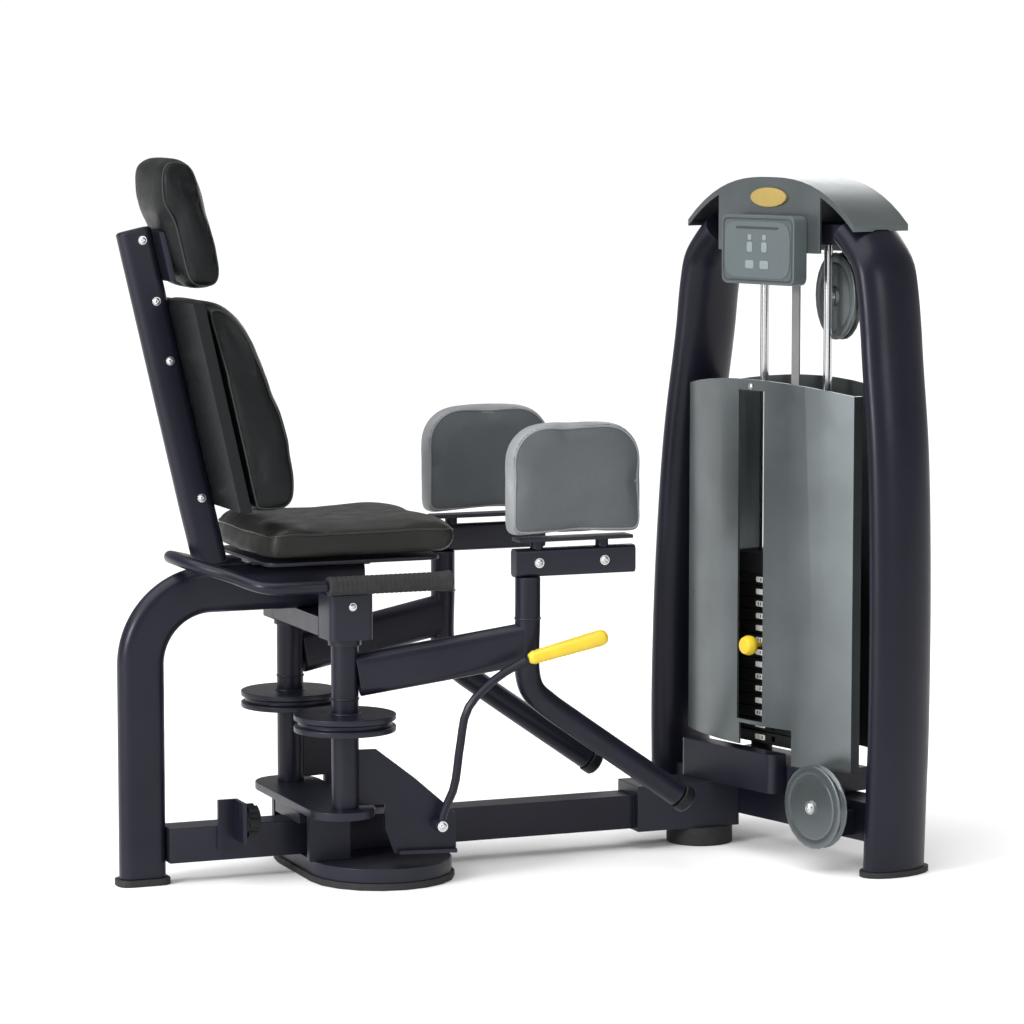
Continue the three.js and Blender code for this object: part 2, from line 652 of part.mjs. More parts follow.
// Everything above a shallow arch across the cover.
function domeCutter(top, drop) {
  const outline = [];
  for (let i = 0; i <= 12; i += 1) {
    const t = -1 + (2 * i) / 12;
    outline.push([320 * t, top - drop * t * t]);
  }
  outline.push([320, top + 60], [-320, top + 60]);
  const shape = new THREE.Shape(outline.map(([y, z]) => new THREE.Vector2(y, z)));
  return new THREE.ExtrudeGeometry(shape, { depth: 400, bevelEnabled: false })
    .rotateX(Math.PI / 2).rotateZ(Math.PI / 2).translate(-200, 0, 0);
}

function rearShroud() {
  const plan = shroudPlan(SHROUD_HALF_WIDTH, 76, 24, 62, SHROUD_THICKNESS).map(([x, y]) => [-x, y]).reverse();
  return cut(planProfile(plan, SHROUD_BOTTOM, SHROUD_TOP), domeCutter(SHROUD_TOP, 34));
}

// Height of the cap's arch above a point across the tower.
function archHeight(y) {
  return CAP_CROWN - CAP_FALL * (Math.abs(y) / ARCH_HALF_WIDTH) ** 2.6;
}

// Front view of the cap: an arch over both uprights, closed below the cross-beam.
function capOutline(inset) {
  const outline = [];
  const half = CAP_HALF_WIDTH - inset;
  for (let i = 0; i <= 20; i += 1) {
    const y = half * (-1 + i / 10);
    outline.push([y, archHeight(y) - inset]);
  }
  outline.push([half, 1330], [160 - inset, 1322], [-160 + inset, 1322], [-half, 1330]);
  return outline;
}

// The space under the arch beside the fascia, where the upright shows.
function shoulderOutline(side) {
  const outline = [[side * FASCIA_HALF_WIDTH, 1200]];
  for (let i = 0; i <= 8; i += 1) {
    const y = FASCIA_HALF_WIDTH + ((CAP_HALF_WIDTH - FASCIA_HALF_WIDTH) * i) / 8;
    outline.push([side * y, archHeight(y) - 14]);
  }
  outline.push([side * 400, 1300], [side * 400, 1200]);
  return side > 0 ? outline : outline.reverse();
}

function frontExtrude(outline, x0, x1) {
  const shape = new THREE.Shape(outline.map(([y, z]) => new THREE.Vector2(y, z)));
  return new THREE.ExtrudeGeometry(shape, { depth: x1 - x0, bevelEnabled: false })
    .rotateX(Math.PI / 2).rotateZ(Math.PI / 2).translate(x0, 0, 0);
}

function topCap() {
  const outer = frontExtrude(capOutline(0), CAP_FRONT, CAP_BACK);
  const inner = frontExtrude(capOutline(CAP_WALL), CAP_FRONT + CAP_WALL, CAP_BACK - CAP_WALL);
  const opening = box(CAP_FRONT + CAP_WALL, CAP_BACK - CAP_WALL, -158, 158, 1200, 1400);
  const shoulders = [-1, 1].map((side) => frontExtrude(shoulderOutline(side), CAP_FRONT - 10, CAP_BACK + 10));
  const uprights = [-1, 1].map((side) => uprightTube(side, 3));
  return cut(outer, inner, opening, ...shoulders, ...uprights);
}

function topBeam() {
  const half = TOP_BEAM_HALF - GAP;
  return cut(box(TOP_BEAM_FRONT, TOP_BEAM_BACK, -half, half, 1340, 1384), rodHoles(1330, 1352, 0.4));
}

function display() {
  const outline = roundedOutline(-128, 112, 1252, 1402, [16, 16, 16, 16], 3);
  return frontExtrude(outline, DISPLAY_FRONT, CAP_FRONT - GAP);
}

function badge() {
  const outline = [];
  for (let i = 0; i < 24; i += 1) {
    const angle = (2 * Math.PI * i) / 24;
    outline.push([-4 + 58 * Math.cos(angle), 1440 + 21 * Math.sin(angle)]);
  }
  return frontExtrude(outline, CAP_FRONT - 6, CAP_FRONT - GAP);
}

// A grooved pulley whose axle runs fore and aft, with its hub to the front.
function pulley(radius, thickness, hubRadius) {
  const profile = [
    [0, -thickness / 2 - 4], [hubRadius, -thickness / 2 - 4], [hubRadius, -thickness / 2],
    [radius * 0.72, -thickness / 2], [radius * 0.78, -thickness / 2 + 3], [radius * 0.9, -thickness / 2],
    [radius, -thickness / 2 + 2], [radius, -thickness / 2 + 6], [radius - 6, -4], [radius - 6, 4],
    [radius, thickness / 2 - 6], [radius, thickness / 2 - 2], [radius * 0.9, thickness / 2],
    [0, thickness / 2],
  ];
  const geometry = new THREE.LatheGeometry(profile.map(([r, h]) => new THREE.Vector2(r, h)), 24);
  return geometry.rotateZ(-Math.PI / 2);
}

// The large pulley faces the seat squarely, so it is turned back from the tower's own direction.
function sidePulley() {
  return pulley(95, 24, 22).rotateZ(-TOWER_TURN).translate(SIDE_PULLEY_X, SIDE_PULLEY_Y, SIDE_PULLEY_Z);
}

function bottomPulley() {
  return pulley(90, 26, 16).translate(BOTTOM_PULLEY_X, BOTTOM_PULLEY_Y, BOTTOM_PULLEY_Z);
}

// A hanger below the top cross-beam, behind the large pulley, with its axle.
function pulleyBracket() {
  const y = SIDE_PULLEY_Y;
  const arm = box(74, 84, y - 15, y + 15, SIDE_PULLEY_Z - 24, 1340 - GAP);
  const axle = bar('x', SIDE_PULLEY_X + 17, 76, y, SIDE_PULLEY_Z, 14, 14);
  return join(arm, axle);
}

function bottomBracket() {
  const x = BOTTOM_PULLEY_X;
  const y = BOTTOM_PULLEY_Y;
  const arm = box(x + 32, x + 44, y - 28, y + 28, 76, 164);
  const axle = bar('x', x + 13 + GAP, x + 42, y, BOTTOM_PULLEY_Z, 14, 14);
  const reach = box(x + 42, CROSS_FRONT - GAP, y - 28, y + 28, 76, 130);
  return join(arm, axle, reach);
}

function baseHousing() {
  const outline = roundedOutline(-110, -66.4, -84, 232, [18, 4, 4, 18], 3);
  return planProfile(outline, 142 + GAP, 228);
}

// A block of plates with the seams between them cut in on the front and the back.
function plateBlock(bottom, count) {
  const seam = 1.2;
  const half = STACK_DEPTH / 2;
  const front = [];
  const back = [];
  for (let i = 0; i < count; i += 1) {
    const z0 = bottom + i * PLATE_PITCH + (i === 0 ? 0 : seam);
    const z1 = bottom + (i + 1) * PLATE_PITCH - (i === count - 1 ? GAP : seam);
    front.push([STACK_X - half, z0], [STACK_X - half, z1]);
    back.push([STACK_X + half, z0], [STACK_X + half, z1]);
    if (i < count - 1) {
      front.push([STACK_X - half + 8, z1], [STACK_X - half + 8, z1 + 2 * seam]);
      back.push([STACK_X + half - 8, z1], [STACK_X + half - 8, z1 + 2 * seam]);
    }
  }
  const block = sideProfile([...back, ...front.reverse()], 0, 2 * STACK_HALF_WIDTH);
  const top = bottom + count * PLATE_PITCH;
  const tools = [rodHoles(bottom - 5, top + 5, 2), bar('z', bottom - 5, top + 5, STACK_X, 0, 14, 12)];
  for (let i = 0; i < count; i += 1) {
    const z = bottom + (i + 0.5) * PLATE_PITCH;
    tools.push(box(STACK_X - half - 5, STACK_X, -6, 6, z - 6, z + 6));
  }
  return cut(block, ...tools);
}

const stackSplit = STACK_BOTTOM + LOWER_PLATES * PLATE_PITCH;
const stackTop = stackSplit + UPPER_PLATES * PLATE_PITCH;

function topPlate() {
  const half = STACK_DEPTH / 2;
  const width = STACK_HALF_WIDTH;
  const plate = box(STACK_X - half, STACK_X + half, -width, width, stackTop, stackTop + 44);
  const hub = box(STACK_X - 24, STACK_X + 24, -26, 26, stackTop + 43, stackTop + 88);
  const rodHole = bar('z', stackTop - 5, stackTop + 30, STACK_X, 0, 12, 12);
  return cut(join(plate, hub), rodHoles(stackTop - 5, stackTop + 50, 2), rodHole);
}

function selectorRod() {
  return bar('z', STACK_BOTTOM + 2, stackTop + 30 - GAP, STACK_X, 0, 11, 12);
}

function selectorPin() {
  const z = stackSplit + 0.5 * PLATE_PITCH;
  const front = STACK_X - STACK_DEPTH / 2;
  const shaft = bar('x', front - 60, STACK_X - 11.5, 0, z, 5, 12);
  const profile = [[0, 0], [14, 0], [20, 5], [22, 16], [18, 28], [0, 32]];
  const points = profile.map(([r, h]) => new THREE.Vector2(r, h));
  const head = new THREE.LatheGeometry(points, 16).rotateZ(Math.PI / 2).translate(front - 58, 0, z);
  return join(shaft, head);
}

function stackBumper(side) {
  const ring = bar('z', 200 + GAP, STACK_BOTTOM - GAP, STACK_X, side * ROD_SPACING, 24, 16);
  return cut(ring, bar('z', 190, 240, STACK_X, side * ROD_SPACING, ROD_RADIUS + 0.5, 12));
}

function towerPieces() {
  for (const [side, name] of [[-1, 'near'], [1, 'far']]) {
    add(tower, `${name}_upright`, upright(side), framePaint);
    add(tower, `${name}_upright_foot`, uprightFoot(side), rubber);
    add(tower, `${name}_guide_rod`, bar('z', 181, 1351, STACK_X, side * ROD_SPACING, ROD_RADIUS, 12), chrome);
    add(tower, `${name}_stack_bumper`, stackBumper(side), rubber);
  }
  add(tower, 'base_crossmember', baseCrossmember(), framePaint);
  add(tower, 'base_housing', baseHousing(), framePaint);
  add(tower, 'top_beam', topBeam(), framePaint);
  add(tower, 'top_cap', topCap(), greyPaint);
  add(tower, 'display', display(), displayPlastic);
  add(tower, 'badge', badge(), goldBadge);
  add(tower, 'front_shroud', frontShroud(), greyPaint);
  add(tower, 'rear_shroud', rearShroud(), greyPaint);
  add(tower, 'side_pulley', sidePulley(), greyPaint);
  add(tower, 'pulley_bracket', pulleyBracket(), framePaint);
  add(tower, 'bottom_pulley', bottomPulley(), greyPaint);
  add(tower, 'bottom_bracket', bottomBracket(), framePaint);
}

function weightStack() {
  add(tower, 'lower_plates', plateBlock(STACK_BOTTOM, LOWER_PLATES), castIron);
  add(tower, 'upper_plates', plateBlock(stackSplit, UPPER_PLATES), castIron);
  add(tower, 'top_plate', topPlate(), castIron);
  add(tower, 'selector_rod', selectorRod(), chrome);
  add(tower, 'selector_pin', selectorPin(), yellowPlastic);
  const beltBottom = stackTop + 88 + GAP;
  add(tower, 'lift_belt', box(STACK_X - 2, STACK_X + 2, -13, 13, beltBottom, 1340 - GAP), beltWebbing);
}

floorFrame();
seating();
knob();
const rightLever = lever(-1);
lever(1);
releaseLever(rightLever);
towerPieces();
weightStack();

export default machine;
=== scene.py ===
"""Hip abductor machine: finish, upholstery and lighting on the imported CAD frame. Metres, +Z up."""
import json
import math

import bmesh
import bpy
from mathutils import Matrix, Vector
from mathutils.bvhtree import BVHTree


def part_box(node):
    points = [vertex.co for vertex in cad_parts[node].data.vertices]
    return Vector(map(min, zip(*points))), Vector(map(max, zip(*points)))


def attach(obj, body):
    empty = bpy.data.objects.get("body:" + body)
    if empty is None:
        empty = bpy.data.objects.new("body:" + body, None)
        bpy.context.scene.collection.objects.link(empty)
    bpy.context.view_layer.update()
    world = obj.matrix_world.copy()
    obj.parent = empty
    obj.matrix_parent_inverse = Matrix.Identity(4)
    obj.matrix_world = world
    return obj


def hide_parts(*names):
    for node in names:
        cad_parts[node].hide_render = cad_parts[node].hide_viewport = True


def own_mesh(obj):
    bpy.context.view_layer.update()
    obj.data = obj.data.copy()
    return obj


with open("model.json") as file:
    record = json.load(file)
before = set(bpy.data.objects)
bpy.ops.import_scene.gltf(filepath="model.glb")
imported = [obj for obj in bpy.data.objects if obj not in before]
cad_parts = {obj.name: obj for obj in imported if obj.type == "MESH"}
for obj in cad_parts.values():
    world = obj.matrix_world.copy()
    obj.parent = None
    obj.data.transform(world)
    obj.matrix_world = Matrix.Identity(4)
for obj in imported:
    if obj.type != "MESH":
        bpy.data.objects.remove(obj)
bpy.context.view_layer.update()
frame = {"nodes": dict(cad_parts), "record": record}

# ---- Driving dimensions ----------------------------------------------------------------------
TOWER_ORIGIN = Vector((1.440, -0.145, 0.0))
TOWER_TURN = math.radians(15)
TOWER = Matrix.Translation(TOWER_ORIGIN) @ Matrix.Rotation(TOWER_TURN, 4, "Z")
PIVOT_X = 0.397
PIVOT_Y = 0.180
SIDES = ((-1, "right"), (1, "left"))
ARM_REACH = 0.385
ARM_SPREAD = 0.072
DISPLAY_FRONT = -0.096              # front faces, in the tower's own frame
STACK_X = 0.024
PLATES = 14
LOWER_PLATES = 8
PLATE_BOTTOM = 0.232
PLATE_PITCH = 0.027
UPRIGHT_HALF = (0.0795, 0.0427)     # half depth and half width of the tower's oval uprights
UPRIGHT_FOOT = 0.0122               # height of the uprights' lower ends
UPRIGHT_TIP = 0.2031                # how far their upper ends stay from the tower's middle
LEG_X = 0.005
SEAT_TUBE_Z = 0.622
LEG_BEND = 0.155
POST_FOOT = (0.160, 0.6736)         # x and z of the backrest post's centre line at its foot
POST_LEAN = 0.228                   # how far back the post leans for each metre up
HANDLE_Y = 0.252
HANDLE_Z = 0.648
BEVEL = 0.0016
CAMERA_PLACE = (-2.2216, -7.6348, 1.6386)
CAMERA_YAW = math.radians(21.9)
CAMERA_PITCH = math.radians(6.11)
LENS = 133.6                        # on a 36 mm sensor
CLOTH_FRAMES = 20                   # steps of cloth simulation for each cushion


# ---- Materials -------------------------------------------------------------------------------
class Nodes:
    """A small helper that builds one material's node tree."""

    def __init__(self, name, color, roughness, metallic=0.0):
        self.material = bpy.data.materials.new(name)
        self.material.use_nodes = True
        self.tree = self.material.node_tree
        self.shader = self.tree.nodes["Principled BSDF"]
        self.shader.inputs["Base Color"].default_value = (*color, 1)
        self.shader.inputs["Roughness"].default_value = roughness
        self.shader.inputs["Metallic"].default_value = metallic
        self.place = self.tree.nodes.new("ShaderNodeTexCoord").outputs["Object"]

    def link(self, source, target):
        self.tree.links.new(source, target)

    def noise(self, scale, detail, stretch=(1, 1, 1)):
        node = self.tree.nodes.new("ShaderNodeTexNoise")
        node.inputs["Scale"].default_value = scale
        node.inputs["Detail"].default_value = detail
        if stretch != (1, 1, 1):
            mapping = self.tree.nodes.new("ShaderNodeMapping")
            mapping.inputs["Scale"].default_value = stretch
            self.link(self.place, mapping.inputs["Vector"])
            self.link(mapping.outputs["Vector"], node.inputs["Vector"])
        else:
            self.link(self.place, node.inputs["Vector"])
        return node.outputs["Fac"]

    def cell_edges(self, scale):
        node = self.tree.nodes.new("ShaderNodeTexVoronoi")
        node.feature = "DISTANCE_TO_EDGE"
        node.inputs["Scale"].default_value = scale
        self.link(self.place, node.inputs["Vector"])
        return node.outputs["Distance"]

    def ramp(self, source, low, high, start=0.3, end=0.7):
        node = self.tree.nodes.new("ShaderNodeMapRange")
        node.inputs["From Min"].default_value = start
        node.inputs["From Max"].default_value = end
        node.inputs["To Min"].default_value = low
        node.inputs["To Max"].default_value = high
        self.link(source, node.inputs["Value"])
        return node.outputs["Result"]

    def mix_color(self, factor, first, second):
        node = self.tree.nodes.new("ShaderNodeMix")
        node.data_type = "RGBA"
        self.link(factor, node.inputs["Factor"])
        for socket, value in ((node.inputs["A"], first), (node.inputs["B"], second)):
            if isinstance(value, tuple):
                socket.default_value = (*value, 1)
            else:
                self.link(value, socket)
        return node.outputs["Result"]

    def worn_edges(self):
        geometry = self.tree.nodes.new("ShaderNodeNewGeometry")
        return self.ramp(geometry.outputs["Pointiness"], 0.0, 1.0, 0.52, 0.62)

    def bump(self, height, strength, distance, below=None):
        node = self.tree.nodes.new("ShaderNodeBump")
        node.inputs["Strength"].default_value = strength
        node.inputs["Distance"].default_value = distance
        self.link(height, node.inputs["Height"])
        if below is not None:
            self.link(below, node.inputs["Normal"])
        return node.outputs["Normal"]

    def set(self, **sockets):
        for name, value in sockets.items():
            socket = self.shader.inputs[name.replace("_", " ")]
            if isinstance(value, (int, float, tuple)):
                socket.default_value = value
            else:
                self.link(value, socket)


def powder_coat(name, color, worn, roughness, metallic, gloss=0.35):
    """Sprayed metal: a fine orange-peel bump, slightly patchy, paler where edges are worn."""
    m = Nodes(name, color, roughness, metallic)
    patchy = m.ramp(m.noise(7, 4), 0.0, 1.0)
    shade = m.mix_color(patchy, tuple(0.88 * c for c in color), tuple(1.12 * c for c in color))
    m.set(
        Base_Color=m.mix_color(m.worn_edges(), shade, worn),
        Roughness=m.ramp(m.noise(24, 3), roughness - 0.03, roughness + 0.05, 0.2, 0.8),
        Normal=m.bump(m.noise(620, 3), 0.10, 0.0006, m.bump(m.noise(26, 2), 0.05, 0.003)),
        Specular_IOR_Level=gloss,
        Coat_Weight=0.08,
        Coat_Roughness=0.2,
    )
    return m.material


def leather(name, color, worn, roughness, grain=0.45, scale=330, gloss=0.32):
    """Upholstery leather or vinyl: pores between creases, and soft dents, rubbed paler in patches; the
    creases are darkened in colour as painted shade.
    """
    m = Nodes(name, color, roughness)
    creases = m.cell_edges(scale)
    pores = m.bump(m.ramp(creases, 0.0, 1.0, 0.0, 0.12), grain, 0.0006)
    soft = m.bump(m.noise(16, 4), 0.25, 0.004, pores)
    rubbed = m.ramp(m.noise(9, 5), 0.0, 1.0, 0.42, 0.72)
    shade = m.mix_color(rubbed, color, worn)
    # Painted shade: the colour is darkened to 0.72 of itself in the grain's creases.
    crease_painted_shade = m.ramp(creases, 1.0, 0.0, 0.0, 0.10)
    m.set(
        Base_Color=m.mix_color(crease_painted_shade, shade, tuple(0.72 * c for c in color)),
        Roughness=m.ramp(m.noise(22, 5), roughness - 0.07, roughness + 0.10),
        Normal=soft,
        Specular_IOR_Level=gloss,
    )
    return m.material


def plastic(name, color, roughness, grain=0.2, gloss=0.5):
    """Moulded plastic or rubber with a fine grain."""
    m = Nodes(name, color, roughness)
    light = tuple(min(1.0, 1.08 * c) for c in color)
    worn = tuple(min(1.0, 1.3 * c) for c in color)
    shade = m.mix_color(m.ramp(m.noise(14, 3), 0.0, 1.0), tuple(0.9 * c for c in color), light)
    m.set(
        Base_Color=m.mix_color(m.worn_edges(), shade, worn),
        Specular_IOR_Level=gloss,
        Roughness=m.ramp(m.noise(60, 4), roughness - 0.05, roughness + 0.08),
        Normal=m.bump(m.noise(900, 2), grain, 0.0004),
    )
    return m.material


def metal(name, color, roughness, stretch=(1, 1, 1)):
    """Bare metal, its streaks drawn out along one axis by stretch."""
    m = Nodes(name, color, roughness, 1.0)
    streaks = m.noise(160, 4, stretch)
    m.set(
        Roughness=m.ramp(streaks, max(0.03, roughness - 0.06), roughness + 0.10),
        Base_Color=m.mix_color(m.ramp(m.noise(11, 3), 0.0, 1.0), tuple(0.9 * c for c in color), color),
        Normal=m.bump(streaks, 0.05, 0.0004),
    )
    return m.material


def woven(name, color):
    """Webbing with its weave in level bands."""
    m = Nodes(name, color, 0.8)
    wave = m.tree.nodes.new("ShaderNodeTexWave")
    wave.bands_direction = "Z"
    wave.inputs["Scale"].default_value = 160
    wave.inputs["Distortion"].default_value = 0.6
    m.link(m.place, wave.inputs["Vector"])
    m.set(
        Base_Color=m.mix_color(wave.outputs["Fac"], color, tuple(2.2 * c for c in color)),
        Normal=m.bump(wave.outputs["Fac"], 0.5, 0.0006),
    )
    return m.material


MATERIALS = {
    "frame_paint": powder_coat(
        "frame_paint", (0.0068, 0.0074, 0.0150), (0.024, 0.025, 0.036), 0.36, 0.10, gloss=0.22,
    ),
    "grey_paint": powder_coat("grey_paint", (0.118, 0.134, 0.139), (0.19, 0.205, 0.208), 0.30, 0.72),
    "black_plastic": plastic("black_plastic", (0.0040, 0.0048, 0.0056), 0.45, gloss=0.22),
    "rubber": plastic("rubber", (0.010, 0.010, 0.011), 0.72, 0.5),
    "back_leather": leather(
        "back_leather", (0.0026, 0.0036, 0.0041), (0.0048, 0.0060, 0.0066), 0.34, gloss=0.2,
    ),
    "seat_leather": leather("seat_leather", (0.0075, 0.0070, 0.0060), (0.012, 0.011, 0.0095), 0.40),
    "pad_vinyl": leather("pad_vinyl", (0.082, 0.091, 0.097), (0.100, 0.109, 0.115), 0.44, 0.3, 380),
    "chrome": metal("chrome", (0.72, 0.73, 0.74), 0.14, (1, 1, 0.05)),
    "cast_iron": powder_coat("cast_iron", (0.006, 0.006, 0.007), (0.03, 0.03, 0.03), 0.5, 0.3),
    "yellow_plastic": plastic("yellow_plastic", (0.66, 0.47, 0.022), 0.38),
    "badge_gold": plastic("badge_gold", (0.36, 0.26, 0.07), 0.36),
    "display_plastic": plastic("display_plastic", (0.074, 0.092, 0.096), 0.42),
    "belt_webbing": woven("belt_webbing", (0.16, 0.16, 0.16)),
}
# The thigh pads' side band: partly its own paler tone, partly a painted highlight where light falls on the
# pads' edges.
PAD_BAND_TONE_AND_HIGHLIGHT = leather("pad_band_tone_and_highlight", (0.23, 0.24, 0.25), (0.28, 0.29, 0.30), 0.42, 0.3, 380)
# The thigh pads' piping: partly its own pale tone, partly a painted highlight for the bright edge the light
# gives the pads.
PAD_PIPING_TONE_AND_HIGHLIGHT = leather("pad_piping_tone_and_highlight", (0.21, 0.22, 0.23), (0.25, 0.26, 0.27), 0.4, 0.2, 500)
DARK_PIPING = leather("dark_piping", (0.018, 0.018, 0.019), (0.03, 0.03, 0.03), 0.3, 0.2, 500)
STEEL = metal("zinc_bolt", (0.62, 0.63, 0.64), 0.28)
WHITE_PRINT = plastic("white_print", (0.72, 0.72, 0.70), 0.5)
PALE_PRINT = plastic("pale_print", (0.17, 0.20, 0.21), 0.5)
DARK_PRINT = plastic("dark_print", (0.03, 0.035, 0.036), 0.35)


# ---- Shared builders -------------------------------------------------------------------------
def tower_point(x, y, z):
    return TOWER @ Vector((x, y, z))


def tower_axis(x, y, z):
    return TOWER.to_3x3() @ Vector((x, y, z))


def place_mesh(name, points, faces, material, body, smooth=True):
    mesh = bpy.data.meshes.new(name)
    mesh.from_pydata([tuple(p) for p in points], [], faces)
    mesh.update()
    if smooth:
        mesh.polygons.foreach_set("use_smooth", [True] * len(mesh.polygons))
    piece = bpy.data.objects.new(name, mesh)
    bpy.context.scene.collection.objects.link(piece)
    piece.data.materials.append(material)
    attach(piece, body)
    return piece


def soften(piece, width, angle, harden=True):
    """A fine bevel on every edge sharper than the angle."""
    bevel = piece.modifiers.new("edges", "BEVEL")
    bevel.width = width
    bevel.segments = 2
    bevel.limit_method = "ANGLE"
    bevel.angle_limit = math.radians(angle)
    bevel.harden_normals = harden
    return piece


def catmull(points, count):
    """Points evenly spaced by length along a centripetal Catmull-Rom curve."""
    knots = [Vector(p) for p in points]
    first = knots[0] - (knots[1] - knots[0])
    last = knots[-1] + (knots[-1] - knots[-2])
    padded = [first, *knots, last]
    dense = []
    for p0, p1, p2, p3 in zip(padded, padded[1:], padded[2:], padded[3:]):
        gaps = [max((b - a).length ** 0.5, 1e-6) for a, b in ((p0, p1), (p1, p2), (p2, p3))]
        t1 = ((p1 - p0) / gaps[0] - (p2 - p0) / (gaps[0] + gaps[1]) + (p2 - p1) / gaps[1]) * gaps[1]
        t2 = ((p2 - p1) / gaps[1] - (p3 - p1) / (gaps[1] + gaps[2]) + (p3 - p2) / gaps[2]) * gaps[1]
        for i in range(24):
            t = i / 24
            dense.append(
                p1 * (2 * t**3 - 3 * t**2 + 1) + t1 * (t**3 - 2 * t**2 + t)
                + p2 * (3 * t**2 - 2 * t**3) + t2 * (t**3 - t**2)
            )
    dense.append(knots[-1])
    lengths = [0.0]
    for a, b in zip(dense, dense[1:]):
        lengths.append(lengths[-1] + (b - a).length)
    result = []
    k = 0
    for i in range(count + 1):
        goal = lengths[-1] * i / count
        while k < len(lengths) - 2 and lengths[k + 1] < goal:
            k += 1
        span = max(lengths[k + 1] - lengths[k], 1e-9)
        result.append(dense[k].lerp(dense[k + 1], min(1.0, (goal - lengths[k]) / span)))
    return result


def oval(half_a, half_b, sides):
    turn = [2 * math.pi * i / sides for i in range(sides)]
    return [(half_a * math.cos(t), half_b * math.sin(t)) for t in turn]


def rounded_rectangle(half_a, half_b, radius, per_corner):
    section = []
    corners = ((1, 1, 0), (-1, 1, 1), (-1, -1, 2), (1, -1, 3))
    for sign_a, sign_b, quarter in corners:
        for i in range(per_corner + 1):
            t = math.pi / 2 * (quarter + i / per_corner)
            section.append((
                sign_a * (half_a - radius) + radius * math.cos(t),
                sign_b * (half_b - radius) + radius * math.sin(t),
            ))
    return section


def sweep(name, path, section, across, material, body):
    """A tube whose section's first coordinate stays along one fixed direction, with soft closed ends."""
    points = []
    side = Vector(across).normalized()
    size = len(section)
    path = [Vector(p) for p in path]
    for i, p in enumerate(path):
        tangent = (path[min(i + 1, len(path) - 1)] - path[max(i - 1, 0)]).normalized()
        first = (side - tangent * side.dot(tangent)).normalized()
        second = tangent.cross(first)
        points += [p + first * a + second * b for a, b in section]
    faces = []
    for i in range(len(path) - 1):
        for j in range(size):
            k = (j + 1) % size
            faces.append((i * size + j, i * size + k, (i + 1) * size + k, (i + 1) * size + j))
    last = (len(path) - 1) * size
    faces.append(tuple(reversed(range(size))))
    faces.append(tuple(last + j for j in range(size)))
    piece = place_mesh(name, points, faces, material, body)
    return soften(piece, 0.002, 50)


def turned(name, profile, start, direction, material, body, sides):
    """A turned piece: pairs of distance along and radius, about an axis."""
    axis = Vector(direction).normalized()
    first = axis.orthogonal().normalized()
    second = axis.cross(first)
    points = []
    for along, radius in profile:
        for i in range(sides):
            t = 2 * math.pi * i / sides
            out = first * math.cos(t) + second * math.sin(t)
            points.append(Vector(start) + axis * along + out * max(radius, 1e-5))
    faces = []
    for i in range(len(profile) - 1):
        for j in range(sides):
            k = (j + 1) % sides
            faces.append((i * sides + j, i * sides + k, (i + 1) * sides + k, (i + 1) * sides + j))
    last = (len(profile) - 1) * sides
    faces.append(tuple(reversed(range(sides))))
    faces.append(tuple(last + j for j in range(sides)))
    piece = place_mesh(name, points, faces, material, body)
    return soften(piece, 0.0006, 40)


def bolt(name, at, direction, body, radius, height=0.006):
    """A button-head bolt on a washer, with a round socket."""
    washer = 1.45 * radius
    socket = 0.45 * height
    profile = [
        (-0.002, 0.5 * radius), (0, washer), (0.0014, washer), (0.0016, radius), (0.55 * height, radius),
        (0.9 * height, 0.72 * radius), (height, 0.5 * radius), (socket, 0.42 * radius), (socket, 0),
    ]
    turned(name, profile, at, direction, STEEL, body, 24)


def weld_bead(name, centre, radius, body):
    """A fine uneven ring round an upright tube."""
    thickness = 0.0022
    axis = Vector((0, 0, 1))
    first = axis.orthogonal().normalized()
    second = axis.cross(first)
    points = []
    faces = []
    around, ring = 48, 8
    for i in range(around):
        t = 2 * math.pi * i / around
        out = first * math.cos(t) + second * math.sin(t)
        wobble = 1 + 0.12 * math.sin(9 * t)
        for j in range(ring):
            s = 2 * math.pi * j / ring
            r = radius + thickness * wobble * math.cos(s)
            points.append(Vector(centre) + out * r + axis * thickness * wobble * math.sin(s))
    for i in range(around):
        for j in range(ring):
            a, b = (i + 1) % around, (j + 1) % ring
            faces.append((i * ring + j, a * ring + j, a * ring + b, i * ring + b))
    place_mesh(name, points, faces, MATERIALS["frame_paint"], body)


# ---- Upholstery ------------------------------------------------------------------------------
def lofted_cushion(name, outline, half_width, inset, centre_y=0.0):
    """A closed form from a side outline of (x, z) pairs, slimmer toward both sides."""
    rows = 21
    points = []
    size = len(outline)
    middle = Vector((sum(p[0] for p in outline) / size, 0, sum(p[1] for p in outline) / size))
    centre = Vector((0, centre_y, 0))
    for i in range(rows):
        t = -1 + 2 * i / (rows - 1)
        shrink = inset * abs(t) ** 5
        for x, z in outline:
            p = Vector((x, 0, z))
            inward = middle - p
            pull = min(shrink, inward.length * 0.9)
            q = p + inward.normalized() * pull
            points.append(centre + q + Vector((0, half_width * t, 0)))
    faces = []
    for i in range(rows - 1):
        for j in range(size):
            k = (j + 1) % size
            faces.append((i * size + j, i * size + k, (i + 1) * size + k, (i + 1) * size + j))
    faces.append(tuple(reversed(range(size))))
    last = (rows - 1) * size
    faces.append(tuple(last + j for j in range(size)))
    mesh = bpy.data.meshes.new(name)
    mesh.from_pydata([tuple(p) for p in points], [], faces)
    piece = bpy.data.objects.new(name, mesh)
    bpy.context.scene.collection.objects.link(piece)
    return piece


def apply_modifiers(piece):
    """Makes the modified shape the piece's own mesh."""
    graph = bpy.context.evaluated_depsgraph_get()
    mesh = bpy.data.meshes.new_from_object(piece.evaluated_get(graph))
    piece.modifiers.clear()
    piece.data = mesh


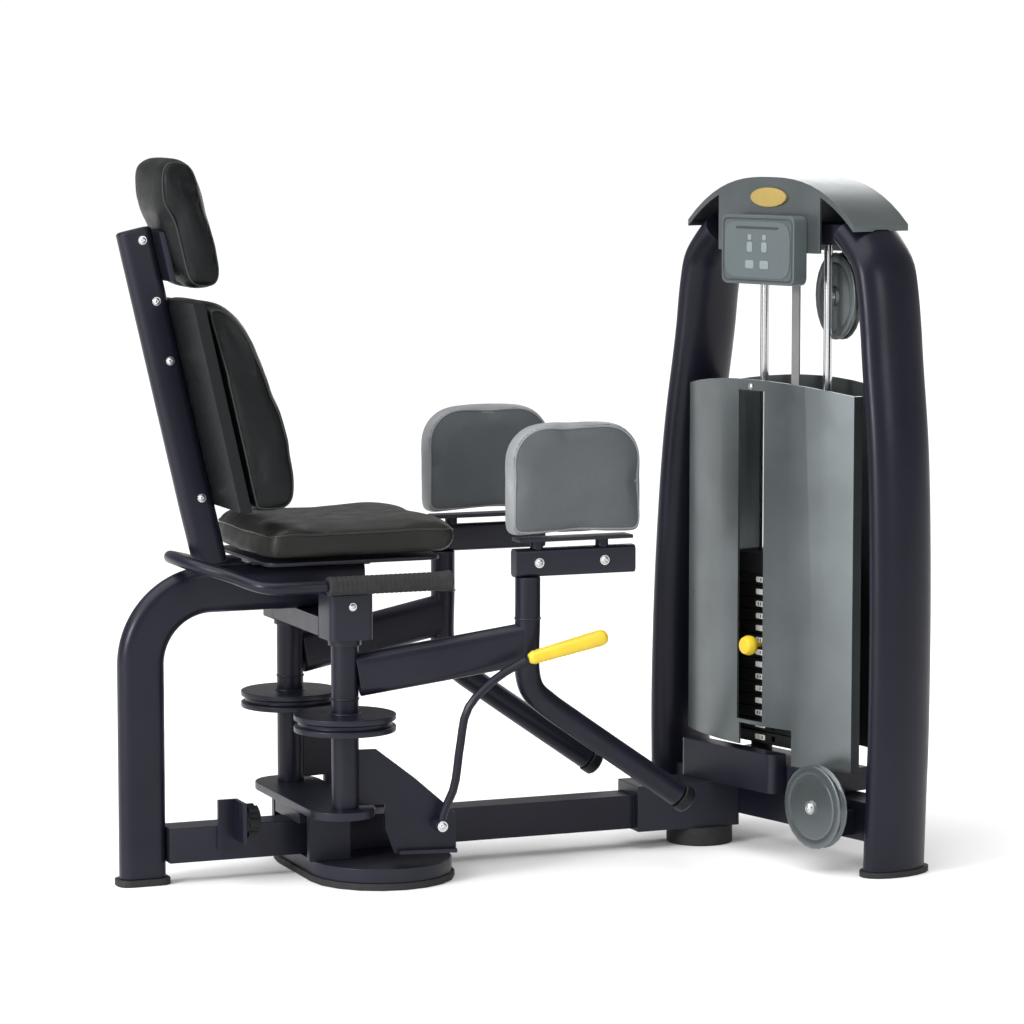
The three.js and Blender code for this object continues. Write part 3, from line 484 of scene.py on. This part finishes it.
def stuffed(piece, voxel, cap, pressure=4.0, pinned_below=None):
    """Remeshes the form and lets cloth swell it; cap is how far a point may move."""
    remesh = piece.modifiers.new("remesh", "REMESH")
    remesh.mode = "VOXEL"
    remesh.voxel_size = voxel
    apply_modifiers(piece)
    smooth = piece.modifiers.new("relax", "SMOOTH")
    smooth.factor = 0.6
    smooth.iterations = 6
    apply_modifiers(piece)
    start = [v.co.copy() for v in piece.data.vertices]
    if pinned_below is not None:
        held = [v.index for v in piece.data.vertices if v.co.z < pinned_below]
        piece.vertex_groups.new(name="held").add(held, 1.0, "REPLACE")
    cloth = piece.modifiers.new("cloth", "CLOTH")
    cloth.settings.quality = 5
    cloth.settings.mass = 0.3
    cloth.settings.tension_stiffness = 30
    cloth.settings.compression_stiffness = 30
    cloth.settings.bending_stiffness = 6
    cloth.settings.use_pressure = True
    cloth.settings.uniform_pressure_force = pressure
    cloth.settings.effector_weights.gravity = 0
    if pinned_below is not None:
        cloth.settings.vertex_group_mass = "held"
    cloth.collision_settings.use_collision = False
    cloth.point_cache.frame_start = 1
    cloth.point_cache.frame_end = CLOTH_FRAMES
    scene = bpy.context.scene
    for number in range(1, CLOTH_FRAMES + 1):
        scene.frame_set(number)
    apply_modifiers(piece)
    for v, rest in zip(piece.data.vertices, start):
        move = v.co - rest
        if move.length > cap:
            v.co = rest + move.normalized() * cap
    scene.frame_set(1)


def finish_cushion(piece, node, slot, body="frame", slack=0.004):
    low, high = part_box(node)
    for v in piece.data.vertices:
        for i in range(3):
            v.co[i] = min(max(v.co[i], low[i] - slack), high[i] + slack)
    relax = piece.modifiers.new("relax", "SMOOTH")
    relax.factor = 0.5
    relax.iterations = 16
    apply_modifiers(piece)
    piece.data.polygons.foreach_set("use_smooth", [True] * len(piece.data.polygons))
    piece.data.materials.clear()
    piece.data.materials.append(MATERIALS[slot])
    piece.vertex_groups.clear()
    detail = piece.modifiers.new("detail", "SUBSURF")
    detail.levels = 1
    detail.render_levels = 1
    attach(piece, body)
    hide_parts(node)


def snapped_loop(target, guide, lift):
    """A guide path moved onto the cushion's surface."""
    tree = BVHTree.FromPolygons(
        [v.co for v in target.data.vertices], [tuple(p.vertices) for p in target.data.polygons]
    )
    result = []
    for p in guide:
        hit, normal, _, _ = tree.find_nearest(Vector(p))
        result.append(hit + normal * lift)
    for _ in range(3):
        result = [(result[i - 1] + 2 * p + result[(i + 1) % len(result)]) / 4 for i, p in enumerate(result)]
    return result


def cord_piece(name, points, radius, material, body, closed=True):
    """A round cord along points, as a mesh tube."""
    count = len(points)
    sides = 8
    verts = []
    faces = []
    for i, p in enumerate(points):
        if closed:
            before, after = points[i - 1], points[(i + 1) % count]
        else:
            before, after = points[max(i - 1, 0)], points[min(i + 1, count - 1)]
        tangent = (after - before).normalized()
        first = tangent.cross(Vector((0.37, 0.81, 0.45))).normalized()
        second = tangent.cross(first)
        for j in range(sides):
            t = 2 * math.pi * j / sides
            verts.append(p + first * radius * math.cos(t) + second * radius * math.sin(t))
    spans = count if closed else count - 1
    for i in range(spans):
        n = (i + 1) % count
        for j in range(sides):
            k = (j + 1) % sides
            faces.append((i * sides + j, i * sides + k, n * sides + k, n * sides + j))
    if not closed:
        faces.append(tuple(reversed(range(sides))))
        faces.append(tuple((count - 1) * sides + j for j in range(sides)))
    return place_mesh(name, verts, faces, material, body)


def resample(points, step):
    """Evenly spaced points round a closed polyline."""
    loop = [Vector(p) for p in points]
    loop.append(loop[0])
    result = []
    carry = 0.0
    for a, b in zip(loop, loop[1:]):
        length = (b - a).length
        while carry < length:
            result.append(a.lerp(b, carry / length))
            carry += step
        carry -= length
    return result


def rounded_polygon(points, radius, per_corner):
    """An outline with each corner rounded, where it is long enough."""
    result = []
    count = len(points)
    for i, point in enumerate(points):
        p = Vector(point)
        a = Vector(points[i - 1]) - p
        b = Vector(points[(i + 1) % count]) - p
        reach = min(radius, 0.45 * a.length, 0.45 * b.length)
        start = p + a.normalized() * reach
        end = p + b.normalized() * reach
        for k in range(per_corner + 1):
            t = k / per_corner
            result.append((start.lerp(p, t)).lerp(p.lerp(end, t), t))
    return result


def side_seams(name, cushion, outline, seam_y, radius):
    """A piping cord near each side edge, laid on the swollen surface."""
    for side, tag in SIDES:
        guide = [Vector((x, side * seam_y, z)) for x, z in outline]
        loop = snapped_loop(cushion, resample(guide, 0.008), 0.0006)
        cord_piece(f"{name}_piping_{tag}", loop, radius, DARK_PIPING, "frame")


def cushion_outline(corners, radius):
    return [tuple(p) for p in rounded_polygon(corners, radius, 3)]


def back_cushion():
    half_width = 0.194
    corners = [
        (0.204, 0.789), (0.274, 0.789), (0.288, 0.810), (0.288, 0.868), (0.280, 0.930), (0.263, 1.003),
        (0.242, 1.058), (0.221, 1.107), (0.197, 1.158), (0.171, 1.205), (0.144, 1.237), (0.124, 1.246),
        (0.101, 1.238), (0.142, 1.060), (0.190, 0.850),
    ]
    outline = cushion_outline(corners, 0.012)
    back = lofted_cushion("back_cushion_cover", outline, half_width, 0.012)
    trim_corners(back, half_width, 0.789, 1.246, 0.040, 0.080)
    stuffed(back, 0.007, 0.008)
    finish_cushion(back, "back_cushion", "back_leather")
    side_seams("back", back, outline, 0.186, 0.0026)


def headrest():
    half_width = 0.108
    corners = [
        (0.094, 1.259), (0.149, 1.259), (0.158, 1.278), (0.148, 1.350), (0.128, 1.430), (0.107, 1.498),
        (0.094, 1.523), (0.075, 1.533), (0.043, 1.530), (0.030, 1.512), (0.030, 1.441), (0.052, 1.400),
    ]
    outline = cushion_outline(corners, 0.014)
    head = lofted_cushion("headrest_cover", outline, half_width, 0.010)
    trim_corners(head, half_width, 1.259, 1.533, 0.022, 0.034)
    stuffed(head, 0.006, 0.010)
    finish_cushion(head, "headrest_cushion", "back_leather")
    side_seams("headrest", head, outline, 0.100, 0.0024)


def seat_cushion():
    corners = [
        (0.218, 0.700), (0.640, 0.700), (0.656, 0.712), (0.661, 0.731), (0.653, 0.750), (0.630, 0.764),
        (0.575, 0.770), (0.420, 0.764), (0.240, 0.766), (0.219, 0.750),
    ]
    outline = cushion_outline(corners, 0.012)
    seat = lofted_cushion("seat_cover", outline, 0.204, 0.016)
    trim_plan(seat, 0.207, 0.212, 0.668, 0.055)
    stuffed(seat, 0.007, 0.008, pinned_below=0.704)
    finish_cushion(seat, "seat_cushion", "seat_leather")
    seat_seam(seat)


def draw_in(point, half_width, depth, radius):
    """Narrows one point near an end, so that the end has round corners."""
    if depth < radius:
        room = radius - math.sqrt(max(radius**2 - (radius - max(depth, 0)) ** 2, 0))
        limit = half_width - room
        point.y = max(-limit, min(limit, point.y))


def trim_corners(piece, half_width, low, high, low_radius, high_radius):
    """Rounds the corners seen from the front."""
    for v in piece.data.vertices:
        draw_in(v.co, half_width, v.co.z - low, low_radius)
        draw_in(v.co, half_width, high - v.co.z, high_radius)


def trim_plan(piece, half_width, low, high, radius):
    """Rounds the corners seen from above."""
    for v in piece.data.vertices:
        draw_in(v.co, half_width, v.co.x - low, radius)
        draw_in(v.co, half_width, high - v.co.x, radius)


def seat_seam(seat):
    """One welt runs round the seat where its top panel meets the side band."""
    corners = [(0.222, -0.208, 0), (0.656, -0.208, 0), (0.656, 0.208, 0), (0.222, 0.208, 0)]
    plan = [Vector((p.x, p.y, 0.752)) for p in rounded_polygon(corners, 0.055, 10)]
    loop = snapped_loop(seat, resample(plan, 0.009), 0.0006)
    cord_piece("seat_welt", loop, 0.0026, DARK_PIPING, "frame")


def pad_outline(inset):
    """The thigh pad's face: square at the bottom, generously rounded at the top."""
    x0, x1 = PIVOT_X + 0.332 + inset, PIVOT_X + 0.644 - inset
    z0, z1 = 0.731 + inset, 0.978 - inset
    outline = []
    corners = ((x0, z0, 1, 1, math.pi, 0.016), (x1, z0, -1, 1, 1.5 * math.pi, 0.016),
               (x1, z1, -1, -1, 0.0, 0.080), (x0, z1, 1, -1, 0.5 * math.pi, 0.080))
    for x, z, dx, dz, start, radius in corners:
        for i in range(9):
            t = start + math.pi / 2 * i / 8
            outline.append((x + dx * radius + radius * math.cos(t), z + dz * radius + radius * math.sin(t)))
    return outline


def inside(outline, x, z):
    """Whether a point lies inside a closed outline, by counting the edges to its right."""
    crossings = 0
    for (x0, z0), (x1, z1) in zip(outline, outline[1:] + outline[:1]):
        if (z0 > z) != (z1 > z) and x < x0 + (z - z0) * (x1 - x0) / (z1 - z0):
            crossings += 1
    return crossings % 2 == 1


def thigh_pad(side, tag):
    """A grey pad with a lighter band round its edge, between two lines of piping; the band and the piping
    are paler partly by their own tone and partly as a painted highlight.
    """
    body = f"{tag}_lever"
    centre_y = side * (PIVOT_Y + ARM_SPREAD)
    pad = lofted_cushion(f"{tag}_thigh_pad_cover", pad_outline(0.005), 0.028, 0.006, centre_y)
    stuffed(pad, 0.006, 0.008, pressure=3.0)
    finish_cushion(pad, f"{tag}_thigh_pad", "pad_vinyl", body, slack=0.003)
    piping = pad_outline(0.009)
    pad.data.materials.append(PAD_BAND_TONE_AND_HIGHLIGHT)
    for face in pad.data.polygons:
        # Sides and rim get the paler band colour, partly a painted highlight on the edges that face the
        # light.
        on_side_band_and_highlight = abs(face.center.y - centre_y) < 0.022 or abs(face.normal.y) < 0.5
        if on_side_band_and_highlight or not inside(piping, face.center.x, face.center.z):
            face.material_index = 1
    edge = resample([Vector((x, 0, z)) for x, z in piping], 0.008)
    for face, label in ((-1, "outer"), (1, "inner")):
        guide = [Vector((p.x, centre_y + face * 0.031, p.z)) for p in edge]
        loop = snapped_loop(pad, guide, 0.0004)
        cord_piece(f"{tag}_pad_piping_{label}", loop, 0.0024, PAD_PIPING_TONE_AND_HIGHLIGHT, body)


# ---- Frame pieces rebuilt with a fine surface ---------------------------------------------------
def frame_tube(name, path, section, across=(0, 1, 0), body="frame"):
    return sweep(name, path, section, across, MATERIALS["frame_paint"], body)


def upright_lean(z):
    return 0.024 * min(1.0, max(0.0, z / 1.150)) ** 1.6


def uprights():
    """The tower's oval tubes: a flat sweep that then leans forward with height."""
    knots = [
        (0.356, -0.020), (0.358, 0.012), (0.362, 0.150), (0.366, 0.300), (0.361, 0.600), (0.342, 0.900),
        (0.314, 1.100), (0.294, 1.250), (0.281, 1.298), (0.254, 1.332), (0.226, 1.358), (0.190, 1.382),
    ]
    for side, tag in ((-1, "near"), (1, "far")):
        path = catmull([(0, side * y, z) for y, z in knots], 110)
        path = [p for p in path if p.z > 0.014 and abs(p.y) > UPRIGHT_TIP]
        path.insert(0, Vector((0, side * 0.358, UPRIGHT_FOOT)))
        piece = frame_tube(f"{tag}_upright_tube", path, oval(*UPRIGHT_HALF, 48), (1, 0, 0))
        for v in piece.data.vertices:
            v.co.x += upright_lean(v.co.z)
            v.co.z = max(v.co.z, UPRIGHT_FOOT)
            v.co.y = side * max(side * v.co.y, UPRIGHT_TIP if v.co.z > 1.30 else 0)
            v.co = TOWER @ v.co
        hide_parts(f"{tag}_upright")


def rear_leg():
    """One tube: up from the foot, round a quarter bend and level under the seat."""
    path = [(LEG_X, 0, z) for z in (0.0142, 0.10, 0.20, 0.30, 0.40)]
    for i in range(25):
        t = math.pi / 2 * i / 24
        along = LEG_BEND * (1 - math.cos(t))
        below = LEG_BEND * (1 - math.sin(t))
        path.append((LEG_X + along, 0, SEAT_TUBE_Z - below))
    path += [(x, 0, SEAT_TUBE_Z) for x in (0.25, 0.35, 0.499)]
    piece = frame_tube("rear_leg_tube", path, rounded_rectangle(0.026, 0.050, 0.0245, 8))
    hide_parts("rear_leg")


def post_x(z):
    return POST_FOOT[0] - POST_LEAN * (z - POST_FOOT[1])


def backrest_post():
    foot, top = 0.6741, 1.379
    path = [(post_x(z), 0, z) for z in (foot, 0.8, 1.0, 1.2, top)]
    piece = frame_tube("backrest_post_tube", path, rounded_rectangle(0.0225, 0.0375, 0.021, 8))
    for v in piece.data.vertices:
        v.co.z = max(v.co.z, foot)
    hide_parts("backrest_post")
    plug = rounded_rectangle(0.0195, 0.0345, 0.018, 8)
    ends = [(post_x(z), 0, z) for z in (top - 0.001, top + 0.002)]
    sweep("post_end_cap", ends, plug, (0, 1, 0), MATERIALS["black_plastic"], "frame")


def levers():
    """Each arm runs out from its pivot to a post, which bends forward and down to the foot rest."""
    knots = [
        (ARM_REACH, 0.648), (ARM_REACH, 0.560), (ARM_REACH, 0.440), (0.397, 0.404), (0.429, 0.374),
        (0.481, 0.336), (0.735, 0.158),
    ]
    post_radius = 0.0268
    for side, tag in SIDES:
        y0 = side * PIVOT_Y
        y1 = side * (PIVOT_Y + ARM_SPREAD)
        body = f"{tag}_lever"
        arm_path = [
            (PIVOT_X + 0.026, y0 + side * 0.005, 0.4485),
            (PIVOT_X + 0.2, y0 + side * 0.038, 0.4760),
            (PIVOT_X + ARM_REACH - 0.006, y1, 0.505),
        ]
        frame_tube(f"{tag}_arm_tube", arm_path, rounded_rectangle(0.0235, 0.0455, 0.0225, 8), body=body)
        path = catmull([(PIVOT_X + x, y1, z) for x, z in knots], 70)
        post = frame_tube(f"{tag}_post_tube", path, oval(post_radius, post_radius, 32), body=body)
        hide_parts(f"{tag}_arm")
        weld_bead(f"{tag}_sleeve_weld", (PIVOT_X, y0, 0.400), 0.0285, body)
        weld_bead(f"{tag}_post_weld", (PIVOT_X + ARM_REACH, y1, 0.560), post_radius, body)
        weld_bead(f"{tag}_cam_weld", (PIVOT_X, y0, 0.3685), 0.031, body)


def handles():
    """One bent tube behind and beside the seat, with a ribbed rubber sleeve on each end."""
    right = [
        (0.3347, -HANDLE_Y, HANDLE_Z), (0.265, -HANDLE_Y, HANDLE_Z), (0.205, -0.238, 0.650),
        (0.150, -0.150, 0.668), (0.098, -0.080, 0.684),
    ]
    left = [(x, -y, z) for x, y, z in reversed(right)]
    path = catmull([*right, (0.082, 0, 0.690), *left], 110)
    piece = cord_piece(
        "handle_loop_tube", path, 0.0149, MATERIALS["frame_paint"], "frame", closed=False,
    )
    smooth = piece.modifiers.new("round", "SUBSURF")
    smooth.levels = 1
    smooth.render_levels = 2
    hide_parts("handle_loop")
    profile = [(0.0, 0.0165), (0.001, 0.0196), (0.004, 0.0204), (0.010, 0.0200)]
    for i in range(22):
        at = 0.016 + 0.0105 * i
        profile += [(at, 0.0200), (at + 0.0035, 0.0190), (at + 0.0070, 0.0200)]
    profile += [(0.255, 0.0205), (0.261, 0.0218), (0.271, 0.0216), (0.2745, 0.017)]
    for side, tag in SIDES:
        grip = turned(
            f"{tag}_grip_sleeve", profile, (0.3351, side * HANDLE_Y, HANDLE_Z), (1, 0, 0),
            MATERIALS["rubber"], "frame", 36,
        )
        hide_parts(f"{tag}_grip")


def release_lever():
    """A tapered ribbed grip, narrow where it joins the rod."""
    start = Vector((PIVOT_X + 0.362, -PIVOT_Y - 0.1354, 0.4825))
    direction = (64, -12, 17)
    profile = [(0.0, 0.0088), (0.001, 0.0100), (0.006, 0.0128)]
    for i in range(13):
        at = 0.012 + 0.0105 * i
        swell = 0.0145 + 0.0030 * min(1.0, at / 0.13)
        profile += [(at, swell), (at + 0.0052, swell - 0.0008)]
    profile += [(0.155, 0.0177), (0.166, 0.0160), (0.172, 0.0118), (0.175, 0.005)]
    grip = turned(
        "release_handle_grip", profile, start, direction, MATERIALS["yellow_plastic"], "release_lever",
        36,
    )
    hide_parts("release_grip")
    bolt("release_pivot_bolt", (0.585, -0.2622, 0.128), (0, -1, 0), "release_lever", 0.008, 0.006)


def lift_belt():
    """A flat strap spanning the lift belt's height, straight up in the tower's frame."""
    low, high = (Vector(corner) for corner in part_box("lift_belt"))
    centre = (low + high) / 2
    length = high.z - low.z
    half_thick, half_wide = 0.0018, 0.0125
    rows = 40
    points = []
    local = TOWER.inverted() @ centre
    for i in range(rows + 1):
        z = low.z + length * i / rows
        for dx, dy in ((-1, -1), (1, -1), (1, 1), (-1, 1)):
            points.append(tower_point(local.x + dx * half_thick, local.y + dy * half_wide, z))
    faces = []
    for i in range(rows):
        for j in range(4):
            k = (j + 1) % 4
            faces.append((i * 4 + j, i * 4 + k, (i + 1) * 4 + k, (i + 1) * 4 + j))
    faces.append((3, 2, 1, 0))
    faces.append(tuple(rows * 4 + j for j in range(4)))
    belt = place_mesh(
        "lift_belt_strap", points, faces, MATERIALS["belt_webbing"], "frame", smooth=False,
    )
    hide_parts("lift_belt")
    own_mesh(belt)


# ---- CAD pieces that keep their shape ------------------------------------------------------------
def clean_shading(node):
    """Flat faces stay flat and gentle curves shade smoothly, with a fine bevel on real edges."""
    mesh = node.data
    mesh.polygons.foreach_set("use_smooth", [True] * len(mesh.polygons))
    if mesh.has_custom_normals:
        bpy.context.view_layer.objects.active = node
        node.select_set(True)
        bpy.ops.mesh.customdata_custom_splitnormals_clear()
        node.select_set(False)
    weld = node.modifiers.new("weld", "WELD")
    weld.merge_threshold = 0.00002
    soften(node, BEVEL, 32, harden=False)
    normals = node.modifiers.new("normals", "WEIGHTED_NORMAL")
    normals.mode = "FACE_AREA_WITH_ANGLE"


def finish_cad_nodes():
    """Every CAD node that still shows gets its slot's procedural material."""
    slots = {part["node"]: part["material_slot"] for part in frame["record"]["subparts"]}
    for name, node in frame["nodes"].items():
        if node.hide_render:
            continue
        material = MATERIALS[slots[name]]
        if not node.material_slots:
            node.data.materials.append(material)
        for slot in node.material_slots:
            slot.material = material
        clean_shading(node)


# ---- Small details -----------------------------------------------------------------------------
def rectangle(y0, y1, z0, z1):
    return [(y0, z0, 0), (y1, z0, 0), (y1, z1, 0), (y0, z1, 0)]


def card(name, x, sides, lift, material, body):
    """A thin label with round corners on the tower's front plane at x; sides are y0, y1, z0 and z1."""
    y0, y1, z0, z1 = sides
    outline = rounded_polygon(rectangle(*sides), 0.3 * min(y1 - y0, z1 - z0), 4)
    count = len(outline)
    back = [tower_point(x, p.x, p.y) for p in outline]
    front = [tower_point(x - lift, p.x, p.y) for p in outline]
    faces = [tuple(range(count)), tuple(reversed(range(count, 2 * count)))]
    faces += [(i, count + i, count + (i + 1) % count, (i + 1) % count) for i in range(count)]
    piece = place_mesh(name, back + front, faces, material, body, smooth=False)
    bm = bmesh.new()
    bm.from_mesh(piece.data)
    bmesh.ops.recalc_face_normals(bm, faces=bm.faces)
    bm.to_mesh(piece.data)
    bm.free()


def display_marks():
    """A plain panel with simple marks in place of the printed placard."""
    middle = -0.008
    front = DISPLAY_FRONT - 0.0015
    panel = (middle - 0.108, middle + 0.108, 1.266, 1.388)
    card("display_panel", DISPLAY_FRONT - 0.0003, panel, 0.0010, MATERIALS["display_plastic"], "frame")
    marks = (("dot", 0.006, 1.348, 1.360), ("mark", 0.009, 1.322, 1.344), ("square", 0.014, 1.286, 1.304))
    for i, y in enumerate((-0.032, 0.016)):
        for label, half, z0, z1 in marks:
            card(f"display_{label}_{i}", front, (y - half, y + half, z0, z1), 0.0006, PALE_PRINT, "frame")
    bar = (-0.078, 0.062, 1.372, 1.377)
    card("display_bar", front, bar, 0.0006, DARK_PRINT, "frame")
    rim = rounded_polygon(rectangle(middle - 0.113, middle + 0.113, 1.260, 1.394), 0.014, 6)
    loop = [tower_point(DISPLAY_FRONT - 0.0002, p.x, p.y) for p in rim]
    cord_piece("display_bezel", resample(loop, 0.006), 0.0016, DARK_PRINT, "frame")


def stack_labels():
    """Every plate carries a light label with one to three ticks beside its pin hole."""
    front = STACK_X - 0.058
    for i in range(PLATES):
        z = PLATE_BOTTOM + (i + 0.5) * PLATE_PITCH
        body = "frame" if i < LOWER_PLATES else "lifted_stack"
        label = (0.026, 0.060, z - 0.0060, z + 0.0060)
        card(f"plate_label_{i + 1}", front - 0.0003, label, 0.0006, WHITE_PRINT, body)
        for k in range(i % 3 + 1):
            y = 0.034 + 0.008 * k
            tick = (y, y + 0.003, z - 0.0035, z + 0.0035)
            card(f"plate_tick_{i + 1}_{k + 1}", front - 0.0010, tick, 0.0004, DARK_PRINT, body)


def hardware():
    """Bolts wherever the frame's parts are joined."""
    for i, z in enumerate((1.372, 1.245, 1.120, 0.830)):
        for side, tag in SIDES:
            at = (post_x(z) + 0.012, side * 0.0222, z - 0.012)
            bolt(f"post_bolt_{tag}_{i + 1}", at, (0, side, 0), "frame", 0.0065, 0.005)
    for side, tag in SIDES:
        bar_face = side * (PIVOT_Y + ARM_SPREAD + 0.0170)
        for i, x in enumerate((0.405, 0.555)):
            at = (PIVOT_X + x, bar_face, 0.678)
            bolt(f"{tag}_pad_bolt_{i + 1}", at, (0, side, 0), f"{tag}_lever", 0.0075)
        bolt(f"{tag}_sleeve_cap_bolt", (PIVOT_X, side * 0.2322, 0.600), (0, side, 0), "frame", 0.006, 0.004)
        for i, z in enumerate((0.300, 0.560, 0.900)):
            at = tower_point(0.080, side * 0.2741, z)
            bolt(f"{tag}_shroud_bolt_{i + 1}", at, tower_axis(0, side, 0), "frame", 0.0065, 0.005)
    hub = tower_point(-0.1452, -0.250, 0.142)
    bolt("bottom_pulley_bolt", hub, tower_axis(-1, 0, 0), "bottom_pulley", 0.010, 0.008)
    hub = tower_point(0.054, -0.106, 1.226) - Vector((0.0162, 0, 0))
    bolt("side_pulley_bolt", hub, (-1, 0, 0), "side_pulley", 0.010, 0.008)
    bolt("knob_bolt", (0.2358, -0.074, 0.134), (1, 0, 0), "adjust_knob", 0.006, 0.004)
    above_slot = tower_point(-0.1082, -0.004, 1.031)
    bolt("shroud_top_rivet", above_slot, tower_axis(-1, 0, 0), "frame", 0.005, 0.003)


# ---- Stage ---------------------------------------------------------------------------------------
def pale_floor():
    half = 30
    floor = bpy.data.meshes.new("floor")
    corners = [(-half, -half, 0), (half, -half, 0), (half, half, 0), (-half, half, 0)]
    floor.from_pydata(corners, [], [(0, 1, 2, 3)])
    ground = bpy.data.objects.new("floor", floor)
    ground.location.z = -0.0004
    bpy.context.scene.collection.objects.link(ground)
    paint = bpy.data.materials.new("floor_paint")
    paint.use_nodes = True
    shader = paint.node_tree.nodes["Principled BSDF"]
    shader.inputs["Base Color"].default_value = (0.93, 0.93, 0.93, 1)
    shader.inputs["Roughness"].default_value = 0.9
    floor.materials.append(paint)


def white_world():
    """A bright white backdrop for the camera, and a dimmer white light for everything else."""
    world = bpy.data.worlds.new("studio")
    bpy.context.scene.world = world
    world.use_nodes = True
    nodes = world.node_tree.nodes
    ambient = nodes["Background"]
    ambient.inputs["Color"].default_value = (1, 1, 1, 1)
    ambient.inputs["Strength"].default_value = 0.34
    backdrop = nodes.new("ShaderNodeBackground")
    backdrop.inputs["Color"].default_value = (1, 1, 1, 1)
    backdrop.inputs["Strength"].default_value = 1.02
    path = nodes.new("ShaderNodeLightPath")
    mix = nodes.new("ShaderNodeMixShader")
    links = world.node_tree.links
    links.new(path.outputs["Is Camera Ray"], mix.inputs[0])
    links.new(ambient.outputs[0], mix.inputs[1])
    links.new(backdrop.outputs[0], mix.inputs[2])
    links.new(mix.outputs[0], nodes["World Output"].inputs["Surface"])


def lamps():
    """Three square lamps aimed at the machine, each with its width in metres and watts, and a soft sun."""
    squares = (
        ("key", (-4.3, -2.0, 2.1), 1.5, 200),
        ("front", (2.2, -5.4, 2.6), 1.6, 45),
        ("back", (3.4, 2.6, 2.6), 2.4, 40),
    )
    target = Vector((0.75, -0.1, 0.7))
    for name, place, width, watts in squares:
        light = bpy.data.lights.new(name, "AREA")
        light.shape = "SQUARE"
        light.size = width
        light.energy = watts
        lamp = bpy.data.objects.new(name, light)
        lamp.location = place
        lamp.rotation_euler = (target - Vector(place)).to_track_quat("-Z", "Y").to_euler()
        bpy.context.scene.collection.objects.link(lamp)

    sun = bpy.data.lights.new("sky", "SUN")
    sun.energy = 3.3
    sun.angle = math.radians(75)
    overhead = bpy.data.objects.new("sky", sun)
    overhead.rotation_euler = (math.radians(4), math.radians(-24), 0)
    bpy.context.scene.collection.objects.link(overhead)


def camera():
    """From the machine's right and a little behind it, far off and looking slightly down."""
    data = bpy.data.cameras.new("camera")
    data.lens = LENS
    data.sensor_width = 36
    data.clip_end = 100
    eye = bpy.data.objects.new("camera", data)
    eye.location = CAMERA_PLACE
    forward = Vector((
        math.sin(CAMERA_YAW) * math.cos(CAMERA_PITCH),
        math.cos(CAMERA_YAW) * math.cos(CAMERA_PITCH),
        -math.sin(CAMERA_PITCH),
    ))
    eye.rotation_euler = forward.to_track_quat("-Z", "Y").to_euler()
    bpy.context.scene.collection.objects.link(eye)
    bpy.context.scene.camera = eye


camera()
pale_floor()
white_world()
lamps()
bpy.context.scene.view_settings.view_transform = "Standard"
uprights()
rear_leg()
backrest_post()
levers()
handles()
release_lever()
lift_belt()
back_cushion()
headrest()
seat_cushion()
for pad_side, pad_tag in SIDES:
    thigh_pad(pad_side, pad_tag)
finish_cad_nodes()
display_marks()
stack_labels()
hardware()
